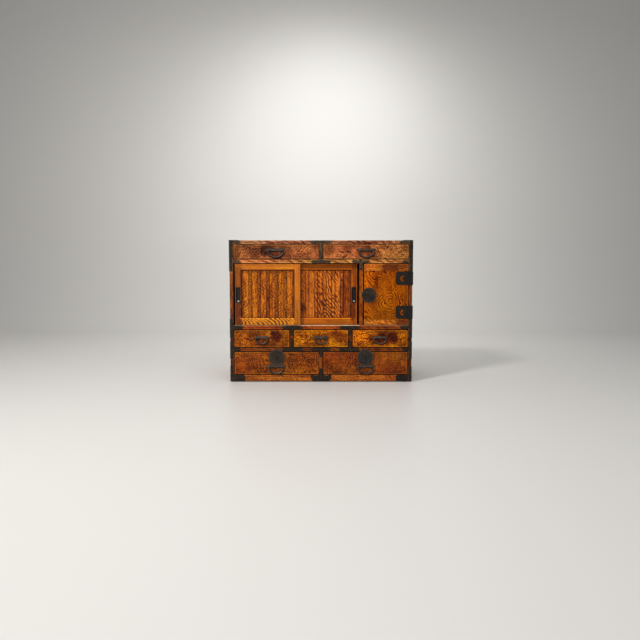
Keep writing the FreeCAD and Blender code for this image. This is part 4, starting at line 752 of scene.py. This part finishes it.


# painted shade on the side boards' front edges, in the gaps between the corner
# straps
EDGE_GAP_SHADE = {s: [(447 * s, 211, 20, 26, 0.95), (447 * s, 98, 20, 34, 0.9),
                 (447 * s, 340, 16, 40, 0.5)] for s in (-1, 1)}
WOODS = {
    "left_side_board": dict(axis="Z", pal="side", seed=1.1, figure="flat",
                            lines=42, swirl=7, swirl_scale=5, contrast=1.2,
                            mottle=1.0, blotch=1.3, calm=0.4,
                            spots=EDGE_GAP_SHADE[-1]),
    "right_side_board": dict(axis="Z", pal="side", seed=2.3, figure="flat",
                             lines=42, swirl=7, swirl_scale=5,
                             contrast=1.2, mottle=1.0, blotch=1.3,
                             calm=0.4, spots=EDGE_GAP_SHADE[1]),
    "top_board": dict(axis="X", pal="orange", seed=3.7, figure="flat",
                      lines=45, swirl=6, swirl_scale=5, ripple=0.35,
                      ripple_ang=58, ripple_len=0.022, tone=0.8,
                      mottle=0.9, contrast=1.2, calm=0.35),
    "base_rail": dict(axis="X", pal="orange", seed=4.2, figure="wavy",
                      lines=110, swirl=8, swirl_scale=9, ripple=0.25,
                      ripple_ang=50, ripple_len=0.013, ripple_warp=5.0,
                      tone=0.95, mottle=0.9, contrast=1.2, fineness=1.6),
    "lower_rail": dict(axis="X", pal="orange", seed=5.9, figure="wavy",
                       lines=120, swirl=6, swirl_scale=9, ripple=0.35,
                       ripple_ang=55, ripple_len=0.026, tone=0.85,
                       mottle=0.8),
    "middle_rail": dict(axis="X", pal="orange", seed=6.4, figure="wavy",
                        lines=120, swirl=6, swirl_scale=9, ripple=0.35,
                        ripple_ang=55, ripple_len=0.026, tone=0.95,
                        mottle=0.8, sat=1.08,
                        sill=(0.2832, 0.2856, -0.10, 0.19)),
    "upper_rail": dict(axis="X", pal="orange", seed=7.8, figure="wavy",
                       lines=120, swirl=6, swirl_scale=9, ripple=0.5,
                       ripple_ang=58, ripple_len=0.028, tone=1.06,
                       mottle=0.8),
    "drawer_dividers": dict(axis="Z", pal="brown", seed=8.1, figure="wavy",
                            lines=120, swirl=5, swirl_scale=9, tone=1.0),
    "cupboard_partition": dict(axis="Z", pal="orange", seed=9.6,
                               figure="wavy", lines=120, swirl=5,
                               swirl_scale=7, tone=0.8),
    "top_left_drawer_front": dict(
        axis="X", pal="red", seed=10.3, figure="burl", lines=46, swirl=12,
        swirl_scale=7.5, ripple=0.34, ripple_ang=-56, ripple_len=0.0095,
        fineness=1.5, ripple_warp=5.0, spec=0.1,
        base=0.10, contrast=1.5, rings=0.6, mottle=0.8,
        spot_mul=(132, 98, 96),
        lights=[(-60, 650, 60, 34, 0.45)],
        spots=[(-262, 655, 62, 40, 0.9), (-330, 640, 44, 34, 0.6),
               (-170, 650, 34, 40, 0.6), (-30, 676, 24, 16, 0.7),
               (-224, 645, 64, 34, 0.8), (-420, 640, 20, 40, 0.7)]),
    "top_right_drawer_front": dict(
        axis="X", pal="red", seed=11.9, figure="burl", lines=46, swirl=12,
        swirl_scale=7.5, ripple=0.34, ripple_ang=-30, ripple_len=0.0105,
        fineness=1.5, ripple_warp=5.0, spec=0.1,
        base=0.08, contrast=1.6, rings=0.65, mottle=0.8,
        spot_mul=(136, 102, 98),
        lights=[(300, 650, 60, 30, 0.35), (160, 640, 40, 24, 0.3)],
        spots=[(34, 660, 36, 34, 0.7), (262, 640, 44, 26, 0.5),
               (128, 664, 26, 34, 0.5), (224, 650, 60, 32, 0.8),
               (420, 668, 24, 26, 0.6), (310, 672, 30, 14, 0.6)]),
    "middle_left_drawer_front": dict(
        axis="X", pal="gold", seed=12.4, figure="burl", lines=42, swirl=13,
        swirl_scale=8, contrast=1.4, base=0.22, rings=0.55, mottle=0.6,
        fineness=1.5, spec=0.1,
        lights=[(-410, 232, 26, 34, 0.4), (-360, 245, 34, 16, 0.4)],
        spots=[(-224, 232, 34, 44, 1.0), (-190, 215, 30, 50, 0.45),
               (-250, 190, 46, 20, 0.5), (-295, 222, 46, 30, 0.5),
               (-345, 226, 20, 40, 0.4)]),
    "middle_centre_drawer_front": dict(
        axis="X", pal="gold", seed=13.2, figure="burl", lines=42, swirl=13,
        swirl_scale=8, contrast=1.4, base=0.20, rings=0.55, mottle=0.6,
        fineness=1.5, spec=0.1,
        lights=[(-96, 222, 48, 50, 1.0)],
        spots=[(10, 226, 60, 28, 0.75), (86, 230, 50, 38, 0.75),
               (126, 196, 18, 36, 0.6)]),
    "middle_right_drawer_front": dict(
        axis="X", pal="gold", seed=14.6, figure="burl", lines=42, swirl=13,
        swirl_scale=8, contrast=1.45, base=0.20, rings=0.65, mottle=0.6,
        fineness=1.4, spec=0.1,
        lights=[(196, 224, 44, 50, 0.75), (410, 226, 22, 34, 0.5)],
        spots=[(300, 218, 64, 46, 1.0), (356, 230, 46, 44, 1.0),
               (330, 250, 80, 20, 0.8), (408, 190, 34, 26, 0.7)]),
    "bottom_left_drawer_front": dict(
        axis="X", pal="brown", seed=15.3, figure="burl", lines=38, swirl=13,
        swirl_scale=7.5, contrast=1.45, rings=0.5, fineness=1.5,
        spec=0.12,
        ripple=0.3, ripple_ang=6, ripple_len=0.0125, ripple_warp=8.0,
        mottle=0.7,
        spots=[(-330, 92, 60, 46, 0.35), (-150, 100, 26, 60, 0.35),
               (-222, 116, 62, 62, 0.55)]),
    "bottom_right_drawer_front": dict(
        axis="X", pal="brown", seed=16.8, figure="burl", lines=38, swirl=13,
        swirl_scale=7.5, contrast=1.45, rings=0.5, fineness=1.5,
        spec=0.12,
        ripple=0.3, ripple_ang=-10, ripple_len=0.0125, ripple_warp=8.0,
        mottle=0.7,
        spots=[(352, 74, 66, 40, 0.45),
               (290, 110, 24, 50, 0.3), (222, 116, 62, 62, 0.6)]),
    "hinged_door_panel": dict(
        axis="Z", pal="door", seed=17.7, figure="burl", lines=38, swirl=8,
        swirl_scale=5, centre=(338, 400, 84, 84, 7.0), contrast=1.3,
        mottle=0.6, stain=0.2, base=0.10, rings=0.9, blotch=0.8, spec=0.07,
        coat=0.01, fineness=1.3,
        lights=[(224, 500, 16, 130, 0.9), (250, 530, 34, 50, 0.5),
                (330, 470, 50, 60, 0.6), (390, 460, 40, 50, 0.3)],
        spots=[(276, 500, 10, 50, 0.45), (250, 400, 30, 40, 0.3),
               (330, 340, 90, 34, 0.35), (404, 545, 30, 30, 0.4)]),
    "hinged_door_clamps": dict(
        axis="X", pal="amber", seed=18.5, figure="wavy", lines=90, swirl=8,
        swirl_scale=8, tone=0.86, contrast=1.2, blotch=0.7, fineness=1.5,
        ripple=0.4, ripple_ang=62, ripple_len=0.0115, ripple_warp=6.0,
        lights=[(240, 578, 40, 20, 0.6), (290, 300, 70, 16, 0.65)],
        spots=[(342, 572, 64, 34, 0.9), (396, 578, 46, 22, 0.6),
               (404, 298, 50, 26, 0.8)]),
}
# what each piece's colour is multiplied by: partly the wood's own tone, partly
# painted shade, strongest on the dark middle and lower rails
TINTS = {
    "left_side_board": (1.28, 1.10, 0.42),
    "right_side_board": (1.1, 0.93, 0.42),
    "top_board": (0.88, 1.16, 1.6),
    "upper_rail": (1.02, 1.1, 1.0),
    "middle_rail": (0.61, 0.36, 0.02),
    "lower_rail": (0.43, 0.27, 0.018),
    "base_rail": (0.87, 0.65, 0.21),
    "drawer_dividers": (0.7, 0.52, 0.26),
    "cupboard_partition": (0.64, 0.43, 0.05),
    "top_left_drawer_front": (0.94, 0.86, 0.80),
    "top_right_drawer_front": (1.02, 1.06, 0.92),
    "middle_left_drawer_front": (1.14, 0.97, 0.23),
    "middle_centre_drawer_front": (1.13, 1.15, 0.06),
    "middle_right_drawer_front": (1.22, 1.08, 0.12),
    "bottom_left_drawer_front": (1.18, 1.0, 0.20),
    "bottom_right_drawer_front": (0.92, 0.73, 0.24),
    "hinged_door_panel": (0.87, 0.75, 0.043),
    "hinged_door_clamps": (0.90, 0.79, 0.43),
    "left_sliding_door_frame": (0.96, 0.88, 0.36),
    "right_sliding_door_frame": (0.97, 0.73, 0.12),
    "left_sliding_door_panel": (1.08, 1.06, 0.95),
    "right_sliding_door_panel": (1.16, 0.94, 0.42),
}
BIG_BAIL, SMALL_BAIL = (0.0365, 0.035, 0.0275), (0.0305, 0.031, 0.022)
HANDLES = {"top_left": (-0.224, 0.660) + BIG_BAIL,
           "top_right": (0.224, 0.660) + BIG_BAIL,
           "middle_left": (-0.295, 0.225) + SMALL_BAIL,
           "middle_centre": (0.0, 0.225) + SMALL_BAIL,
           "middle_right": (0.295, 0.225) + SMALL_BAIL,
           "bottom_left": (-0.224, 0.079) + BIG_BAIL,
           "bottom_right": (0.224, 0.079) + BIG_BAIL}
for name, o in WOODS.items():
    o.update(tint=TINTS[name])
    for tag, h in HANDLES.items():
        if name.startswith(tag):
            o.update(wear=[h])
    if name.endswith(("_front", "hinged_door_panel")):
        o.update(rim=face(name), rim_s=1.4)
    elif name.endswith("_clamps"):
        o.update(rim=face(name), edge=0.7)
    elif name in ("base_rail", "lower_rail", "middle_rail", "upper_rail"):
        o.update(rim=face(name, 0.02), rim_s=1.05, glow=0.4)
    give(name, wood(name + "_wood", **o))

# sliding doors: stiles and rails have their own grain direction
for name in ("left_sliding_door", "right_sliding_door"):
    left = name.startswith("left")
    fx0, fx1, fz0, fz1 = face(name + "_frame")
    px0, px1, pz0, pz1 = face(name + "_panel")
    vis = (fx0, fx1, 0.286, 0.593)
    give(name + "_frame", wood(
        name + "_frame_wood", axis="Z", pal="amber", seed=21.0 if left
        else 24.0, figure="flat", lines=70, swirl=2.5, swirl_scale=5,
        contrast=0.6, tone=1.0 if left else 0.88, cross=(px0, px1), rim=vis,
        tint=TINTS[name + "_frame"],
        stain=0.3, bead=(px0, px1, pz0, pz1), sat=1.1, blotch=0.5,
        drift_s=0.5,
        ripple=0.9 if left else 0.0, ripple_ang=40, ripple_len=0.016,
        ripple_zone=(0.28, pz0, px0 - 0.006, px1 + 0.004), mottle=0.6,
        # most of these dark zones are painted shade: the left door's recessed
        # left stile, the right door's stiles beside the left door and the
        # post, and its top rail under the upper rail
        spots=[(-416, 345, 34, 90, 0.95), (-118, 330, 18, 50, 0.3),
               (-414, 510, 34, 130, 0.62), (-432, 440, 12, 220, 0.95)] if left
              else
              [(-130, 440, 18, 190, 0.8), (20, 578, 190, 18, 0.3),
               (164, 350, 16, 80, 0.9), (166, 440, 14, 60, 0.7),
               (168, 540, 18, 70, 0.6),
               (100, 300, 60, 12, 0.3)]))
    pitch = (px1 - px0) / 6.0
    common = dict(boards=("X", px0 - 0.008, pitch),
                  battens=(px0, pitch, 0.008), rim=(px0, px1, pz0, pz1),
                  rim_s=1.5, glow=0.0, figure="wavy", axis="Z",
                  pal="panel", tint=TINTS[name + "_panel"])
    if left:
        give(name + "_panel", wood(
            name + "_panel_wood", seed=22.4, lines=60, swirl=8,
            swirl_scale=7, contrast=1.05, stain=0.1, ripple=0.3, flip=True,
            ripple_ang=44, ripple_len=0.011, batten_tone=-0.5, blotch=0.25,
            batten_line=0.6, fineness=1.7, mottle=1.1, ripple_warp=5.0,
            board_tone=0.4,
            drift_s=0.3, sat=1.05, **common))
    else:
        give(name + "_panel", wood(
            name + "_panel_wood", seed=25.8, lines=46, swirl=9,
            swirl_scale=6, contrast=0.9, ripple=0.85, ripple_ang=50,
            ripple_warp=6.0,
            ripple_len=0.016, stain=0.3, batten_tone=-0.1, blotch=0.4,
            batten_line=0.6, fineness=1.3,
            ripple_boards=(px0, px1, (0.35, 0.25, 0.6, 1.0, 0.75, 0.05)),
            drift_s=0.4,
            # the first two dark zones are painted shadow cast by the left
            # door's edge
            spots=[(-108, 440, 12, 150, 0.8), (-96, 372, 26, 40, 0.8),
                   (-60, 480, 30, 70, 0.3), (112, 420, 26, 110, 0.6)],
            **common))

give("bottom_board", bare_wood("bottom_board_wood", "X", seed=31.0,
                               tone=0.8))
give("back_boards", bare_wood("back_boards_wood", "Z", seed=32.0, tone=0.82,
                              boards=("X", -0.4365, 0.21825)))
give("shelf_boards", bare_wood("shelf_boards_wood", "X", seed=33.0,
                               tone=0.78))
give("drawer_runners", bare_wood("drawer_runners_wood", "Y", seed=34.0,
                                 tone=0.8))
for i, name in enumerate(sorted(n for n in NODES if n.endswith("_box"))):
    give(name, bare_wood(name + "_wood", "Y", seed=40.0 + i * 1.7,
                         tone=0.9 + 0.03 * (i % 3)))

IRONS = {
    "corner_irons": dict(seed=1.0, rust=0.5, rough=0.52, sheen=0.15, tone=0.85,
                         spec=0.25, warm=1.0, edges=(0.4385, 0.4545),
                         speckle=1.0),
    "rail_irons": dict(seed=2.0, rust=0.3, rough=0.48, sheen=0.15, tone=0.74,
                       spec=0.25, warm=1.0, upward=(0.28, 0.61, 3.0),
                       speckle=1.0),
    "iron_nails": dict(seed=3.0, rust=0.2, rough=0.36, tone=2.4, sheen=0.5),
    "hinge_case_leaves": dict(seed=4.0, rust=0.1, rough=0.5, tone=0.5,
                              sheen=0.3),
    "hinge_door_leaves": dict(seed=5.0, rust=0.1, rough=0.5, tone=0.5,
                              sheen=0.3),
    "hinged_door_lock": dict(seed=6.0, rust=0.15, rough=0.4, sheen=0.4,
                             tone=1.3, warm=0.6, ring=(0.239, 0.436, 0.0376)),
    "hinged_door_lock_bolt": dict(seed=7.0, rust=0.3),
    "bottom_left_lock": dict(seed=8.0, rust=0.35, rough=0.46, sheen=0.3,
                             tone=1.1, warm=0.9, ring=(-0.222, 0.124, 0.041)),
    "bottom_right_lock": dict(seed=9.0, rust=0.1, rough=0.46, sheen=0.3,
                              tone=0.95, warm=0.1, ring=(0.222, 0.124, 0.041)),
    "bottom_left_lock_bolt": dict(seed=10.0, rust=0.3),
    "bottom_right_lock_bolt": dict(seed=11.0, rust=0.3),
    "left_sliding_door_pull": dict(seed=12.0, rust=0.1, rough=0.34,
                                   tone=0.5, warm=0.3, sheen=0.3,
                                   scoop_highlight=(-0.4175, -0.4095, 0.4022,
                                           0.4092)),
    "right_sliding_door_pull": dict(seed=13.0, rust=0.1, rough=0.34,
                                    tone=0.5, warm=0.3, sheen=0.3,
                                    scoop_highlight=(0.1615, 0.1695, 0.4022,
                                            0.4092)),
}
for name, o in IRONS.items():
    give(name, forged_iron(name + "_iron", **o))
for i, name in enumerate(sorted(n for n in NODES
                                if n.endswith(("_mount", "_bail")))):
    bail = name.endswith("_bail")
    give(name, forged_iron(name + "_iron", seed=20.0 + i, rust=0.15,
                           rough=0.34, sheen=0.35, dents=0.5, warm=0.7,
                           spec=0.9, tone=1.8 if bail else 2.5))

for name in NODES:
    if name.endswith("_front"):
        soften(name, 0.0005, 1)
    elif name.endswith(("_board", "_rail", "_boards", "_dividers",
                        "_partition", "_runners")):
        soften(name, 0.0012, 2)
    elif name.endswith("_box"):
        soften(name, 0.0008, 2, touching=True)
    elif name.endswith("_frame"):
        soften(name, 0.0010, 2, touching=True)
    elif name.endswith("_clamps") or name == "hinged_door_panel":
        soften(name, 0.0012, 2)
    elif name.endswith("_panel"):
        soften(name, 0.0008, 2)
    elif name in ("corner_irons", "rail_irons", "hinge_case_leaves",
                  "hinge_door_leaves"):
        soften(name, 0.0004, 2, 40)
    elif name.endswith("_pull"):
        soften(name, 0.0003, 1, 40)

# the joints of the back boards have closed up, so no light comes through
back = NODES["back_boards"]
for side in (-1, 1):
    vg = back.vertex_groups.new(name="joint_%s" % ("left", "right")[side > 0])
    vg.add([v.index for v in back.data.vertices
            if any(abs(v.co.x - q - side * 0.00015) < 0.00005
                   for q in (-0.21825, 0.0, 0.21825))], 1.0, "REPLACE")
    dm = back.modifiers.new("closed_" + vg.name, "DISPLACE")
    dm.direction = "X"
    dm.mid_level = 0.0
    dm.strength = -side * 0.00013
    dm.vertex_group = vg.name

# ---------------------------------------------------------------------------
# floor, wall and lights
# ---------------------------------------------------------------------------
bm = bmesh.new()
prof = []
R = 1.2
for i in range(13):
    a = math.radians(90 * i / 12)
    prof.append((2.2 + R * math.sin(a), R - R * math.cos(a)))
prof = [(-9.0, 0.0)] + prof + [(2.2 + R, 6.0)]
rows = []
for y, z in prof:
    rows.append([bm.verts.new((x, y, z - 0.0002)) for x in (-9.0, 9.0)])
for a, b in zip(rows, rows[1:]):
    bm.faces.new((a[0], a[1], b[1], b[0]))
me = bpy.data.meshes.new("studio_floor")
bm.to_mesh(me)
bm.free()
for p in me.polygons:
    p.use_smooth = True
floor = bpy.data.objects.new("studio_floor", me)
scene.collection.objects.link(floor)
mat, k = material("studio_floor")
k.finish(srgb(222, 220, 216), 0.42, specular=0.3)
floor.data.materials.append(mat)


def area(name, loc, target, size, power, color=(1, 1, 1), size_y=None):
    d = bpy.data.lights.new(name, "AREA")
    d.energy = power
    d.color = color
    d.size = size
    if size_y:
        d.shape = "RECTANGLE"
        d.size_y = size_y
    o = bpy.data.objects.new(name, d)
    scene.collection.objects.link(o)
    o.location = loc
    o.rotation_euler = (Vector(target) - Vector(loc)).to_track_quat(
        "-Z", "Y").to_euler()
    return o


area("key", (-2.1, -2.55, 2.86), (0, 0, 0.38), 0.6, 96, (1.0, 0.985, 0.96))
area("front", (0.35, -1.9, 3.1), (0, -0.2, 0.3), 1.5, 25, (1.0, 0.99, 0.97))
area("fill", (3.2, -2.6, 1.3), (0, 0, 0.4), 2.2, 18, (0.97, 0.985, 1.0))
area("low", (-1.2, -3.4, 0.7), (0, 0, 0.3), 2.4, 16, (1.0, 0.99, 0.97))
area("top", (0.0, 0.6, 3.4), (0, 0.5, 0.3), 2.6, 22)
area("back", (0.1, 1.9, 2.3), (0, 3.1, 1.1), 2.5, 24).data.shape = "DISK"
world = bpy.data.worlds.new("studio")
scene.world = world
world.use_nodes = True
bg = world.node_tree.nodes["Background"]
bg.inputs[0].default_value = srgb(228, 229, 232)
bg.inputs[1].default_value = 0.2
